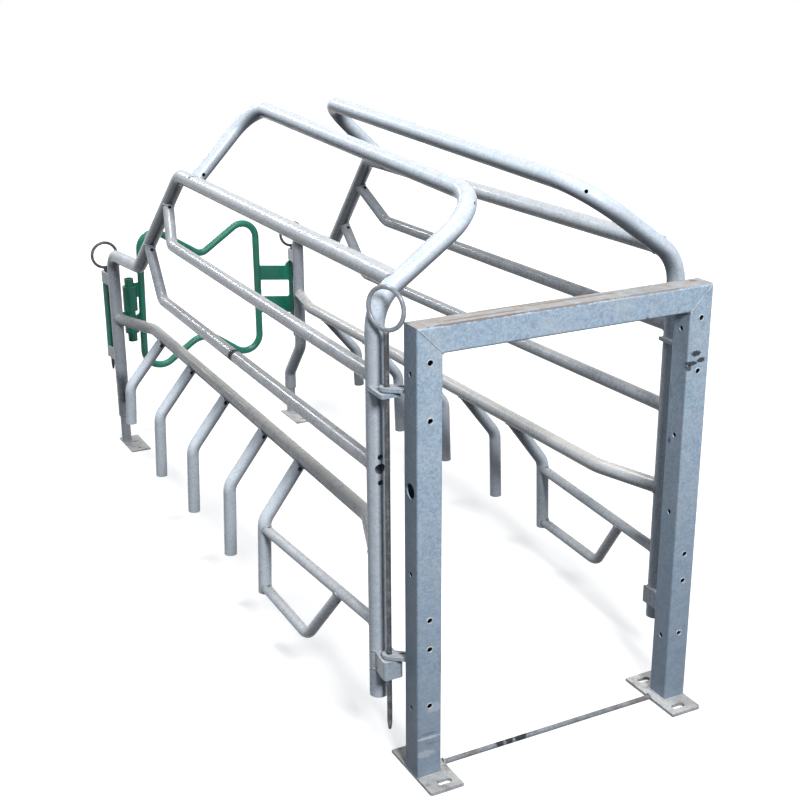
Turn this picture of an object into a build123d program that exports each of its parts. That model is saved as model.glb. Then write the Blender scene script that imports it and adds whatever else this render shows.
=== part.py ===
from build123d import *
import os

os.makedirs("parts", exist_ok=True)

# Stations run rearwards from the front face of the portal, heights up from the floor
BASE_FRONT = -62
FOOT_REAR = 2393
MID_STATION = (BASE_FRONT + FOOT_REAR) / 2

# Portal frame of box tube
PORTAL_WIDTH = 745
PORTAL_HEIGHT = 1050
POST = 60
POST_WALL = 3
POST_CORNER = 5
POST_X = (PORTAL_WIDTH - POST) / 2
POST_REAR = POST - MID_STATION
POST_Y = POST / 2 - MID_STATION
FRONT_HOLE_HEIGHTS = (186, 326, 396, 851, 975)
FRONT_HOLE = 13
ACCESS_HEIGHT = 692
ACCESS_HOLE = 34
SIDE_HOLE_HEIGHTS = (173, 500, ACCESS_HEIGHT, 947)
SIDE_HOLE = 12

# Base plates under the posts and the rod between them
PLATE_THICK = 8
BASE_WIDTH = 83
BASE_LENGTH = 188
BASE_CLIP = 4
BASE_SLOT = (36, 17)
BASE_SLOT_IN = 47.5
BASE_SLOT_STATIONS = (-36, 99)
ROD = 12
ROD_STATION = 31.5

# Side panels, drawing in from the upright to the rear leg
UPRIGHT_STATION = 153.5
LEG_STATION = 2291.6
UPRIGHT_HALF = 390
LEG_HALF = 350.5
TUBE = 42.4
TUBE_WALL = 2.5
UPRIGHT_FOOT = 149
UPRIGHT_HOLES = ((676, 13), (708, 24), (735, 13))

# Corners of each bent tube as outward offset, station and height
HOOP_CORNERS = (
    (0, UPRIGHT_STATION, UPRIGHT_FOOT),
    (0, UPRIGHT_STATION, 1071),
    (-264, UPRIGHT_STATION, 1257),
    (-254, 1491, 1305),
    (-50.3, 1470, 1101),
)
HOOP_BENDS = (110, 120, 90)
RAIL_CORNERS = (
    (-52, UPRIGHT_STATION, 1109),
    (-50, 1601.5, 1100),
    (-7, 1972, 746.5),
    (0, LEG_STATION, 722.5),
    (0, LEG_STATION, 285),
    (-17.5, 2360, 165),
    (-17.5, 2360, 105),
)
RAIL_BENDS = (65, 60, 60, 60, 40)

# Horizontal bars between the upright and the rear part of the panel
BAR = 33.7
BAR_WALL = 2.3
UPPER_BAR_CORNERS = (
    (0, UPRIGHT_STATION, 910),
    (-4, 1576.5, 900),
    (-37.5, 1701, 1002),
)
MIDDLE_BAR_CORNERS = (
    (0, UPRIGHT_STATION, 708),
    (-8, 1724, 694),
    (-15, 1863, 841),
)
BAR_BEND = 50
LOWER_BAR = 38
LOWER_BAR_CORNERS = (
    (0, UPRIGHT_STATION, 499),
    (-64.5, 332.5, 506),
    (-65.5, 2051, 504),
    (0, LEG_STATION, 492),
)
LOWER_BAR_BENDS = (110, 110)

# Fingers hanging from the lower bar, first the station and then the open lower end
FINGER = 35
FINGER_WALL = 2.3
FINGER_PLACES = ((1936, 226), (1618, 154), (1302, 156), (992, 149))
FRONT_FINGER = (734, 150)
FINGER_TOP_IN = -65
FINGER_TOP_HEIGHT = 504.5
KNEE_HEIGHT = 354
KNEE_HALF = 431.5
KNEE_DRAW = 0.0066
FINGER_SPLAY = 7
FINGER_BEND = 55

# Kick bar and the loop under it
KICK = 26.9
KICK_WALL = 2.3
KICK_FRONT_HEIGHT = 326
KICK_REAR_HEIGHT = 331
LOOP_START_HEIGHT = 165
LOOP_CORNERS = ((431, 462, 155), (401, 326, 327.5))
LOOP_BEND = 50

# Drain holes beside the joints, each set back from the axis of the tube that it meets
DRAIN = 9
FINGER_DRAIN = 26
BAR_DRAIN = 28
HOOP_DRAIN = 34
KICK_REAR_DRAIN = 26
KICK_FRONT_DRAIN = 31
LOOP_DRAIN = 25
MIDDLE_BAR_DRAIN = 640

# Rear feet
FOOT_TUBE = 33.7
FOOT_TUBE_WALL = 3
FOOT_TUBE_TOP = 140
FOOT_PLATE = (70, 158)
FOOT_PLATE_THICK = 4
LEFT_PLATE_IN = 17
LEFT_PLATE_AHEAD = 46
RIGHT_PLATE_IN = 0.7
RIGHT_PLATE_AHEAD = 58
FOOT_PLATE_SHIFT = {-1: (LEFT_PLATE_IN, LEFT_PLATE_AHEAD), 1: (RIGHT_PLATE_IN, RIGHT_PLATE_AHEAD)}
FOOT_HOLE = 14
FOOT_HOLES_AHEAD = (103, 35)
FOOT_WELD = 4
FOOT_WELD_BITE = 0.5

# Loose pins with a ring for a handle
PIN = 12
PIN_CLEARANCE = 1.5
PIN_TAPER = 18
PIN_TIP = 7
FRONT_PIN_HALF = 390
FRONT_PIN_STATION = 100
FRONT_PIN_FOOT = 86
FRONT_RING = (45, 10, 1070)
FRONT_RING_TURN = -64
REAR_PIN_HALF = 358.5
REAR_PIN_STATION = 2366.5
LEFT_PIN_FOOT = 285
RIGHT_PIN_FOOT = 307
REAR_PIN_FOOT = {-1: LEFT_PIN_FOOT, 1: RIGHT_PIN_FOOT}
REAR_RING = (44, 10.5, 707)

# Lugs that carry the pins
POST_LUG_THICK = 8
POST_LUG_ROUND = 16
POST_LUG_ROOT = 44
POST_LUG_LIP = 2
POST_LUG_SLOT = (26, 7)
POST_LUG_SLOT_FROM = 34
LUG_GAP = 3
LEFT_UPPER_LUG = 893
RIGHT_UPPER_LUG = 884
LEFT_LOWER_LUG = 268
RIGHT_LOWER_LUG = 232
UPPER_LUG_TOP = {-1: LEFT_UPPER_LUG, 1: RIGHT_UPPER_LUG}
LOWER_LUG_TOP = {-1: LEFT_LOWER_LUG, 1: RIGHT_LOWER_LUG}
UPRIGHT_LUG_THICK = 9
LUG_FRONT = 20
LUG_OUTER = 23
LUG_INNER = 26
UPPER_LUG_WAIST = 20
LOWER_LUG_WAIST = 14
LUG_WAIST_SHORT = 6
LUG_CORNER = 8
STRAP_THICK = 5.5
STRAP_SHORT = 4
STRAP_HEIGHT = 36
PIN_HEAD = (24, 7)
PLAIN_PIN_REACH = 36
LEG_STRAP_HALF = 15.5
LEG_STRAP_THICK = 8.5
LEG_STRAP_HEIGHT = 40
LEG_LUG_TOPS = (376, 650)

# Gate of bent round tube, its hinge and its latch plate
GATE_STATION = REAR_PIN_STATION
GATE_TUBE = 25
GATE_WALL = 2
GATE_CORNERS = (
    (-228, 811.5, 55),
    (-3, 668, 38),
    (213, 815, 55),
    (214, 222, 60),
    (-4, 375, 90),
    (-241, 216, 63),
)
SLEEVE = 29
SLEEVE_BORE = 13.5
SLEEVE_TOP = 606
LATCH_SLOT = 15
LATCH_GAP = 2
GATE_PLATE = 6
LATCH_PLATE_HEIGHTS = (402, 584)
WINDOW_HEIGHTS = (465, 529)
WINDOW_END = 342
WINDOW_CORNER = 7
LATCH_SLOPE = 0.118
GUSSET = 15
HINGE_X = -278
HINGE_TUBE = 33
HINGE_WALL = 4
HINGE_HEIGHTS = (380, 612)
KNUCKLE = 50
KNUCKLE_CLEARANCE = 1
KNUCKLE_HEIGHTS = ((412, 458), (494, 584))
LINK_HEIGHTS = (461, 491)
LINK_THICK = 8
UPPER_ARM_HEIGHTS = (540, 593)
LOWER_ARM = ((-20, 424), (-20, 456), (46, 486), (46, 450))


def panel_half(station):
    """Half width of the crate at the plane of a side panel."""
    along = (station - UPRIGHT_STATION) / (LEG_STATION - UPRIGHT_STATION)
    return UPRIGHT_HALF + (LEG_HALF - UPRIGHT_HALF) * along


def panel_point(side, outward, station, height):
    """Point given by its offset from the plane of a side panel."""
    return (side * (panel_half(station) + outward), station - MID_STATION, height)


def knee_half(station):
    """Half width of the crate at the knee of a finger."""
    return KNEE_HALF - KNEE_DRAW * station


def side_name(side):
    """Name of a side as seen from the portal."""
    return "left" if side < 0 else "right"


def bent_tube(points, bends, outer, wall=None, cut_by=(), drains=()):
    """Tube along straight runs and bends, coped where it meets other tubes."""
    with BuildPart() as tube:
        with BuildLine() as path:
            if len(points) == 2:
                Line(*points)
            else:
                FilletPolyline(*points, radius=bends)
        with BuildSketch(Plane(path.line @ 0, z_dir=path.line % 0)):
            Circle(outer / 2)
            if wall:
                Circle(outer / 2 - wall, mode=Mode.SUBTRACT)
        sweep()
        for body in cut_by:
            add(body, mode=Mode.SUBTRACT)
        for place, way in drains:
            with Locations(Plane(origin=place, z_dir=way)):
                Cylinder(DRAIN / 2, outer, align=(Align.CENTER, Align.CENTER, Align.MIN), mode=Mode.SUBTRACT)
        longest = tube.part.solids().sort_by(SortBy.VOLUME)[-1]
        add(longest, mode=Mode.REPLACE)
    return tube


def save(built, name):
    """Label a sub-part and write it out."""
    built.part.label = name
    export_step(built.part, f"parts/{name}.step")


def box_section(outer, wall, corner):
    """Outline of a box tube with rounded corners, around the current place."""
    RectangleRounded(outer, outer, corner)
    RectangleRounded(outer - 2 * wall, outer - 2 * wall, corner - wall, mode=Mode.SUBTRACT)


def mitre(side):
    """Plane of the joint between a post and the beam."""
    return Plane(origin=(side * PORTAL_WIDTH / 2, POST_Y, PORTAL_HEIGHT), z_dir=(-side, 0, 1))


def portal_post(side):
    """Post of the portal, open to the beam at its mitred top."""
    with BuildPart() as post:
        with BuildSketch(Plane.XY.offset(PLATE_THICK)):
            with Locations((side * POST_X, POST_Y)):
                box_section(POST, POST_WALL, POST_CORNER)
        extrude(amount=PORTAL_HEIGHT - PLATE_THICK)
        split(bisect_by=mitre(side), keep=Keep.BOTTOM)
        for height in FRONT_HOLE_HEIGHTS:
            with Locations(Plane(origin=(side * POST_X, POST_Y, height), z_dir=(0, 1, 0))):
                Cylinder(FRONT_HOLE / 2, 2 * POST, mode=Mode.SUBTRACT)
        for height in SIDE_HOLE_HEIGHTS:
            with Locations(Plane(origin=(side * POST_X, POST_Y, height), z_dir=(1, 0, 0))):
                Cylinder(SIDE_HOLE / 2, 2 * POST, mode=Mode.SUBTRACT)
        with Locations(Plane(origin=(side * POST_X, POST_Y, ACCESS_HEIGHT), z_dir=(side, 0, 0))):
            Cylinder(ACCESS_HOLE / 2, POST, align=(Align.CENTER, Align.CENTER, Align.MIN), mode=Mode.SUBTRACT)
    return post


def portal_beam():
    """Beam of the portal, mitred at both ends."""
    with BuildPart() as beam:
        with BuildSketch(Plane(origin=(-PORTAL_WIDTH / 2, POST_Y, PORTAL_HEIGHT - POST / 2), z_dir=(1, 0, 0))):
            box_section(POST, POST_WALL, POST_CORNER)
        extrude(amount=PORTAL_WIDTH)
        for side in (-1, 1):
            split(bisect_by=mitre(side), keep=Keep.TOP)
    return beam


def base_plate(side):
    """Slotted plate under a post, its front outer corner clipped."""
    outer = side * PORTAL_WIDTH / 2
    inner = side * (PORTAL_WIDTH / 2 - BASE_WIDTH)
    front = BASE_FRONT - MID_STATION
    with BuildPart() as plate:
        with BuildSketch():
            with BuildLine():
                Polyline(
                    (inner, front),
                    (outer - side * BASE_CLIP, front),
                    (outer, front + BASE_CLIP),
                    (outer, front + BASE_LENGTH),
                    (inner, front + BASE_LENGTH),
                    close=True,
                )
            make_face()
            for station in BASE_SLOT_STATIONS:
                with Locations((outer - side * BASE_SLOT_IN, station - MID_STATION)):
                    SlotOverall(*BASE_SLOT, mode=Mode.SUBTRACT)
        extrude(amount=PLATE_THICK)
    return plate


def tie_rod():
    """Round rod on the floor between the two base plates."""
    inner = PORTAL_WIDTH / 2 - BASE_WIDTH
    with BuildPart() as rod:
        with BuildSketch(Plane(origin=(-inner, ROD_STATION - MID_STATION, ROD / 2), z_dir=(1, 0, 0))):
            Circle(ROD / 2)
        extrude(amount=2 * inner)
    return rod


def front_pin_place(side):
    """Place of a front pin in plan."""
    return (side * FRONT_PIN_HALF, FRONT_PIN_STATION - MID_STATION)


def post_lugs(side):
    """Two flat lugs behind a post, each with a hole for the pin and a slot in its arm."""
    pin = Vector(*front_pin_place(side))
    root = side * (PORTAL_WIDTH / 2 - POST_CORNER - POST_LUG_ROOT / 2)
    way = (Vector(root - side * POST_LUG_ROOT / 2, POST_REAR) - pin).normalized()
    slot_middle = pin + way * POST_LUG_SLOT_FROM
    with BuildPart() as lugs:
        for below in (UPPER_LUG_TOP[side], LOWER_LUG_TOP[side]):
            with BuildSketch(Plane.XY.offset(below + LUG_GAP)):
                with Locations(pin):
                    Circle(POST_LUG_ROUND)
                with Locations((root, POST_REAR)):
                    Rectangle(POST_LUG_ROOT, POST_LUG_LIP, align=(Align.CENTER, Align.MIN))
                make_hull()
                with Locations(pin):
                    Circle((PIN + PIN_CLEARANCE) / 2, mode=Mode.SUBTRACT)
            extrude(amount=POST_LUG_THICK)
            slot_plane = Plane(origin=(slot_middle.X, slot_middle.Y, below + LUG_GAP), x_dir=way, z_dir=(0, 0, 1))
            with BuildSketch(slot_plane):
                SlotOverall(*POST_LUG_SLOT)
            extrude(amount=POST_LUG_THICK, mode=Mode.SUBTRACT)
    return lugs


def lug_outline(side, waist, inset=0):
    """Corners of an upright lug in plan, or of the space inside its strap where an inset is given."""
    x, y = front_pin_place(side)
    front = y - LUG_FRONT + inset
    waist_y = UPRIGHT_STATION - LUG_WAIST_SHORT - MID_STATION
    back = UPRIGHT_STATION + TUBE / 2 - STRAP_SHORT - MID_STATION
    corners = [(x + side * (LUG_OUTER - inset), front), (x + side * (waist - inset), waist_y)]
    if inset:
        back = back + STRAP_SHORT
        corners.append((x + side * (waist - inset), back))
    corners.append((x - side * (LUG_INNER - inset), back))
    corners.append((x - side * (LUG_INNER - inset), front))
    return corners


def upright_lugs(side, upright):
    """Flat upper lug and strapped lower lug in front of an upright."""
    with BuildPart() as lugs:
        for top, waist in ((UPPER_LUG_TOP[side], UPPER_LUG_WAIST), (LOWER_LUG_TOP[side], LOWER_LUG_WAIST)):
            with BuildSketch(Plane.XY.offset(top - UPRIGHT_LUG_THICK)) as flat:
                with BuildLine():
                    Polyline(*lug_outline(side, waist), close=True)
                make_face()
                fillet(flat.vertices().sort_by(Axis.Y)[:2], LUG_CORNER)
                with Locations(front_pin_place(side)):
                    Circle((PIN + PIN_CLEARANCE) / 2, mode=Mode.SUBTRACT)
            extrude(amount=UPRIGHT_LUG_THICK)
        with BuildSketch(Plane.XY.offset(LOWER_LUG_TOP[side] - UPRIGHT_LUG_THICK)) as strap:
            with BuildLine():
                Polyline(*lug_outline(side, LOWER_LUG_WAIST), close=True)
            make_face()
            fillet(strap.vertices().sort_by(Axis.Y)[:2], LUG_CORNER)
            with BuildLine():
                Polyline(*lug_outline(side, LOWER_LUG_WAIST, STRAP_THICK), close=True)
            make_face(mode=Mode.SUBTRACT)
        extrude(amount=-STRAP_HEIGHT)
        add(upright, mode=Mode.SUBTRACT)
    return lugs


def drain(joint, toward, setback, way):
    """Place and direction of a drain hole, set back along a run from its joint."""
    start = Vector(*joint)
    return start + (Vector(*toward) - start).normalized() * setback, way


def bend_drain(before, corner, after, bend):
    """Place and direction of a drain hole in the outer side of a square bend."""
    middle = Vector(*corner)
    inward = (Vector(*before) - middle).normalized() + (Vector(*after) - middle).normalized()
    return middle + inward.normalized() * bend * (inward.length - 1), inward * -1


def upright_hoop(side):
    """Front upright bent over into the hoop and down again to the top rail."""
    corners = [panel_point(side, *corner) for corner in HOOP_CORNERS]
    rail = bent_tube([panel_point(side, *corner) for corner in RAIL_CORNERS[:3]], RAIL_BENDS[0], TUBE)
    drains = [drain(corners[4], corners[3], HOOP_DRAIN, (0, -1, 0)), bend_drain(*corners[1:4], HOOP_BENDS[1])]
    hoop = bent_tube(corners, HOOP_BENDS, TUBE, TUBE_WALL, [rail.part], drains)
    with hoop:
        for height, size in UPRIGHT_HOLES:
            with Locations(Plane(origin=panel_point(side, 0, UPRIGHT_STATION, height), z_dir=(0, -1, 0))):
                Cylinder(size / 2, TUBE, align=(Align.CENTER, Align.CENTER, Align.MIN), mode=Mode.SUBTRACT)
    return hoop


def finger_corners(side, station, foot):
    """Corners of a finger from the lower bar down to its open end."""
    knee = knee_half(station)
    level = station - MID_STATION
    return [
        panel_point(side, FINGER_TOP_IN, station, FINGER_TOP_HEIGHT),
        (side * knee, level, KNEE_HEIGHT),
        (side * (knee + FINGER_SPLAY), level, foot),
    ]


def kick_corners(side):
    """Ends of the kick bar on the upright and on the front finger."""
    station = FRONT_FINGER[0]
    return [
        panel_point(side, 0, UPRIGHT_STATION, KICK_FRONT_HEIGHT),
        (side * knee_half(station), station - MID_STATION, KICK_REAR_HEIGHT),
    ]


def loop_corners(side):
    """Corners of the loop from the front finger's foot up to the kick bar."""
    station = FRONT_FINGER[0]
    points = [(side * (knee_half(station) + FINGER_SPLAY), station - MID_STATION, LOOP_START_HEIGHT)]
    for half, place, height in LOOP_CORNERS:
        points.append((side * half, place - MID_STATION, height))
    return points


def leg_lugs(side, rail):
    """Two strap eyes behind the rear leg, each bent round the pin."""
    leg = panel_point(side, 0, LEG_STATION, 0)
    pin = (side * REAR_PIN_HALF, REAR_PIN_STATION - MID_STATION)
    way = Vector(pin[0] - leg[0], pin[1] - leg[1], 0)
    with BuildPart() as lugs:
        for top in LEG_LUG_TOPS:
            plane = Plane(origin=(pin[0], pin[1], top), x_dir=way, z_dir=(0, 0, -1))
            with BuildSketch(plane):
                for half, mode in ((LEG_STRAP_HALF, Mode.ADD), (LEG_STRAP_HALF - LEG_STRAP_THICK, Mode.SUBTRACT)):
                    Circle(half, mode=mode)
                    Rectangle(way.length, 2 * half, align=(Align.MAX, Align.CENTER), mode=mode)
            extrude(amount=LEG_STRAP_HEIGHT)
        add(rail, mode=Mode.SUBTRACT)
    return lugs


def foot_tube(side):
    """Inner tube of a rear foot with the weld ring that holds it in the leg."""
    x, y, height = panel_point(side, *RAIL_CORNERS[-1])
    bore = FOOT_TUBE / 2 - FOOT_WELD_BITE
    with BuildPart() as foot:
        with BuildSketch(Plane.XY.offset(FOOT_PLATE_THICK)):
            with Locations((x, y)):
                Circle(FOOT_TUBE / 2)
                Circle(FOOT_TUBE / 2 - FOOT_TUBE_WALL, mode=Mode.SUBTRACT)
        extrude(amount=FOOT_TUBE_TOP - FOOT_PLATE_THICK)
        with BuildSketch(Plane(origin=(x, y, 0), x_dir=(1, 0, 0), z_dir=(0, -1, 0))):
            with BuildLine():
                Polyline(
                    (bore, height),
                    (TUBE / 2, height),
                    (FOOT_TUBE / 2, height - FOOT_WELD),
                    (bore, height - FOOT_WELD),
                    close=True,
                )
            make_face()
        revolve(axis=Axis((x, y, 0), (0, 0, 1)))
    return foot


def foot_plate(side):
    """Flat plate under a rear foot, with two bolt holes."""
    foot_x, foot_y, height = panel_point(side, *RAIL_CORNERS[-1])
    inward, ahead = FOOT_PLATE_SHIFT[side]
    x = foot_x - side * inward
    with BuildPart() as plate:
        with BuildSketch():
            with Locations((x, foot_y - ahead)):
                Rectangle(*FOOT_PLATE)
            with Locations(*[(x, foot_y - hole_ahead) for hole_ahead in FOOT_HOLES_AHEAD]):
                Circle(FOOT_HOLE / 2, mode=Mode.SUBTRACT)
        extrude(amount=FOOT_PLATE_THICK)
    return plate


def ring_pin(x, station, foot, ring, turn):
    """Loose pin with a tapered tip and a ring welded on top."""
    ring_radius, bar, ring_height = ring
    top = ring_height - ring_radius
    axis = Axis((x, station - MID_STATION, 0), (0, 0, 1))
    with BuildPart() as pin:
        with BuildSketch(Plane(origin=(x, station - MID_STATION, 0), x_dir=(1, 0, 0), z_dir=(0, -1, 0))):
            with BuildLine():
                Polyline(
                    (0, foot),
                    (PIN_TIP / 2, foot),
                    (PIN / 2, foot + PIN_TAPER),
                    (PIN / 2, top),
                    (0, top),
                    close=True,
                )
            make_face()
        revolve(axis=axis)
        across = Vector(1, 0, 0).rotate(Axis.Z, turn)
        facing = across.rotate(Axis.Z, -90)
        with Locations(Plane(origin=(x, station - MID_STATION, ring_height), x_dir=across, z_dir=facing)):
            Torus(ring_radius, bar / 2)
    return pin


def plain_pin(side):
    """Headed pin of the front hinge that carries no ring."""
    x, y = front_pin_place(side)
    seat = UPPER_LUG_TOP[side] + LUG_GAP + POST_LUG_THICK
    foot = LOWER_LUG_TOP[side] - UPRIGHT_LUG_THICK - STRAP_HEIGHT - PLAIN_PIN_REACH
    head, thick = PIN_HEAD
    with BuildPart() as pin:
        with BuildSketch(Plane.XY.offset(foot)):
            with Locations((x, y)):
                Circle(PIN / 2)
        extrude(amount=seat - foot)
        with BuildSketch(Plane.XY.offset(seat)):
            with Locations((x, y)):
                Circle(head / 2)
        extrude(amount=thick)
    return pin


def gate_loop(wall):
    """Closed bow shaped loop of the rear gate, hollow where a wall is given."""
    points = [(x, GATE_STATION - MID_STATION, z) for x, z, bend in GATE_CORNERS]
    bends = [bend for x, z, bend in GATE_CORNERS]
    with BuildPart() as loop:
        with BuildLine() as path:
            FilletPolyline(*points, radius=bends, close=True)
        with BuildSketch(Plane(path.line @ 0, z_dir=path.line % 0)):
            Circle(GATE_TUBE / 2)
            if wall:
                Circle(GATE_TUBE / 2 - wall, mode=Mode.SUBTRACT)
        sweep()
    return loop


def gate_plane(height=0):
    """Upright plane of the gate, seen from the front, its origin above the centre line."""
    return Plane(origin=(0, GATE_STATION - MID_STATION, height), x_dir=(1, 0, 0), z_dir=(0, -1, 0))


def upright_tube(x, foot, top, outer, bore=None):
    """Tube or rod standing in the plane of the gate, made in the part that is open."""
    with BuildSketch(Plane.XY.offset(foot)) as section:
        with Locations((x, GATE_STATION - MID_STATION)):
            Circle(outer / 2)
            if bore:
                Circle(bore / 2, mode=Mode.SUBTRACT)
    extrude(section.sketch, amount=top - foot)


def hinge_tube():
    """Fixed tube that the gate turns on."""
    with BuildPart() as tube:
        upright_tube(HINGE_X, *HINGE_HEIGHTS, HINGE_TUBE, HINGE_TUBE - 2 * HINGE_WALL)
    return tube


def hinge_bracket():
    """Sleeve on the left rear pin with the link that carries the hinge tube."""
    low, high = LINK_HEIGHTS
    with BuildPart() as bracket:
        with BuildSketch(gate_plane()):
            with Locations(((HINGE_X - REAR_PIN_HALF) / 2, (low + high) / 2)):
                Rectangle(REAR_PIN_HALF + HINGE_X, high - low)
        extrude(amount=LINK_THICK / 2, both=True)
        with Locations((HINGE_X, GATE_STATION - MID_STATION, low)):
            Cylinder(
                HINGE_TUBE / 2,
                high - low,
                align=(Align.CENTER, Align.CENTER, Align.MIN),
                mode=Mode.SUBTRACT,
            )
        upright_tube(-REAR_PIN_HALF, LEG_LUG_TOPS[0], SLEEVE_TOP, SLEEVE)
        with Locations((-REAR_PIN_HALF, GATE_STATION - MID_STATION, 0)):
            Cylinder(SLEEVE_BORE / 2, 2 * SLEEVE_TOP, mode=Mode.SUBTRACT)
    return bracket


def gate_knuckles(loop):
    """Two rings round the hinge tube, each with an arm to the loop."""
    bore = HINGE_TUBE + 2 * KNUCKLE_CLEARANCE
    low, high = UPPER_ARM_HEIGHTS
    reach = GATE_CORNERS[0][0] - HINGE_X
    with BuildPart() as knuckles:
        with BuildSketch(gate_plane()):
            with Locations((HINGE_X + reach / 2, (low + high) / 2)):
                Rectangle(reach, high - low)
            with BuildLine():
                Polyline(*[(HINGE_X + out, height) for out, height in LOWER_ARM], close=True)
            make_face()
        extrude(amount=GATE_PLATE / 2, both=True)
        for foot, top in KNUCKLE_HEIGHTS:
            upright_tube(HINGE_X, foot, top, KNUCKLE)
        with Locations((HINGE_X, GATE_STATION - MID_STATION, 0)):
            Cylinder(bore / 2, 2 * SLEEVE_TOP, mode=Mode.SUBTRACT)
        add(loop, mode=Mode.SUBTRACT)
        largest = knuckles.part.solids().sort_by(SortBy.VOLUME)[-2:]
        add(largest, mode=Mode.REPLACE)
    return knuckles


def latch_corners(low, high, near, far):
    """Corners of a band of the latch plate, which falls away from the loop."""
    corners = []
    for x, height in ((near, low), (far, low), (far, high), (near, high)):
        corners.append((x, height + LATCH_SLOPE * (REAR_PIN_HALF - x)))
    return corners


def latch_plate(loop):
    """Windowed plate from the loop to a sleeve that hooks round the right pin."""
    bar = GATE_CORNERS[2][0]
    foot = LEG_LUG_TOPS[0] + LATCH_GAP
    top = LATCH_PLATE_HEIGHTS[1]
    edge = REAR_PIN_HALF - SLEEVE / 2
    brow = SLEEVE_TOP - LATCH_GAP
    with BuildPart() as latch:
        with BuildSketch(gate_plane()) as plate:
            with BuildLine():
                Polyline(*latch_corners(*LATCH_PLATE_HEIGHTS, bar, REAR_PIN_HALF), close=True)
            make_face()
            with BuildLine():
                Line((edge - GUSSET, top), (REAR_PIN_HALF, top))
                Line((REAR_PIN_HALF, top), (REAR_PIN_HALF, brow))
                Line((REAR_PIN_HALF, brow), (edge, brow))
                RadiusArc((edge, brow), (edge - GUSSET, top), -(brow - top))
            make_face()
        extrude(plate.sketch, amount=GATE_PLATE / 2, both=True)
        with BuildSketch(gate_plane()) as window:
            with BuildLine():
                Polyline(*latch_corners(*WINDOW_HEIGHTS, bar, WINDOW_END), close=True)
            make_face()
            fillet(window.vertices().sort_by(Axis.X)[-2:], WINDOW_CORNER)
        extrude(window.sketch, amount=GATE_PLATE, both=True, mode=Mode.SUBTRACT)
        upright_tube(REAR_PIN_HALF, foot, SLEEVE_TOP, SLEEVE)
        with Locations((REAR_PIN_HALF, GATE_STATION - MID_STATION, 0)):
            Cylinder(SLEEVE_BORE / 2, 2 * SLEEVE_TOP, mode=Mode.SUBTRACT)
            Box(LATCH_SLOT, SLEEVE, 2 * SLEEVE_TOP, align=(Align.CENTER, Align.MAX), mode=Mode.SUBTRACT)
        add(loop, mode=Mode.SUBTRACT)
        largest = latch.part.solids().sort_by(SortBy.VOLUME)[-1]
        add(largest, mode=Mode.REPLACE)
    return latch


def build_side(side):
    """Build and save everything that belongs to one side of the crate."""
    name = side_name(side)
    rail_points = [panel_point(side, *corner) for corner in RAIL_CORNERS]
    hoop_points = [panel_point(side, *corner) for corner in HOOP_CORNERS]
    hoop_solid = bent_tube(hoop_points[:3], HOOP_BENDS[0], TUBE).part
    rail_solid = bent_tube(rail_points, RAIL_BENDS, TUBE).part
    lower_points = [panel_point(side, *corner) for corner in LOWER_BAR_CORNERS]
    lower_solid = bent_tube(lower_points, LOWER_BAR_BENDS, LOWER_BAR).part
    save(portal_post(side), f"portal_{name}_post")
    save(base_plate(side), f"{name}_base_plate")
    save(post_lugs(side), f"{name}_post_lugs")
    save(upright_hoop(side), f"{name}_upright_hoop")
    save(upright_lugs(side, hoop_solid), f"{name}_upright_lugs")
    save(bent_tube(rail_points, RAIL_BENDS, TUBE, TUBE_WALL, [hoop_solid]), f"{name}_top_rail_and_leg")
    for corners, part_name in ((UPPER_BAR_CORNERS, "upper_bar"), (MIDDLE_BAR_CORNERS, "middle_bar")):
        points = [panel_point(side, *corner) for corner in corners]
        drains = [drain(points[2], points[1], BAR_DRAIN, (0, -1, 1))]
        if side < 0 and part_name == "middle_bar":
            drains.append(drain(points[1], points[0], MIDDLE_BAR_DRAIN, (side, 0, -0.4)))
        bar = bent_tube(points, BAR_BEND, BAR, BAR_WALL, [hoop_solid, rail_solid], drains)
        save(bar, f"{name}_{part_name}")
    lower = bent_tube(lower_points, LOWER_BAR_BENDS, LOWER_BAR, BAR_WALL, [hoop_solid, rail_solid])
    save(lower, f"{name}_lower_bar")
    with BuildPart() as fingers:
        for station, foot in FINGER_PLACES:
            points = finger_corners(side, station, foot)
            hole = drain(points[0], points[1], FINGER_DRAIN, (0, -1, 0))
            add(bent_tube(points, FINGER_BEND, FINGER, FINGER_WALL, [lower_solid], [hole]).part)
    save(fingers, f"{name}_fingers")
    front_points = finger_corners(side, *FRONT_FINGER)
    front_solid = bent_tube(front_points, FINGER_BEND, FINGER).part
    hole = drain(front_points[0], front_points[1], FINGER_DRAIN, (0, -1, 0))
    front = bent_tube(front_points, FINGER_BEND, FINGER, FINGER_WALL, [lower_solid], [hole])
    save(front, f"{name}_front_finger")
    kick_points = kick_corners(side)
    kick_solid = bent_tube(kick_points, None, KICK).part
    kick_drains = [
        drain(kick_points[1], kick_points[0], KICK_REAR_DRAIN, (0, 0, 1)),
        drain(kick_points[0], kick_points[1], KICK_FRONT_DRAIN, (0, 0, 1)),
    ]
    kick = bent_tube(kick_points, None, KICK, KICK_WALL, [hoop_solid, front_solid], kick_drains)
    save(kick, f"{name}_kick_bar")
    loop_points = loop_corners(side)
    loop_drains = [
        drain(loop_points[0], loop_points[1], LOOP_DRAIN, (0, 0, 1)),
        drain(loop_points[2], loop_points[1], LOOP_DRAIN, (0, -1, -1)),
    ]
    loop = bent_tube(loop_points, LOOP_BEND, KICK, KICK_WALL, [front_solid, kick_solid], loop_drains)
    save(loop, f"{name}_kick_loop")
    save(leg_lugs(side, rail_solid), f"{name}_leg_lugs")
    save(foot_tube(side), f"{name}_foot_tube")
    save(foot_plate(side), f"{name}_foot_plate")
    rear_pin = ring_pin(side * REAR_PIN_HALF, REAR_PIN_STATION, REAR_PIN_FOOT[side], REAR_RING, 0)
    save(rear_pin, f"rear_{name}_pin")


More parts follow.
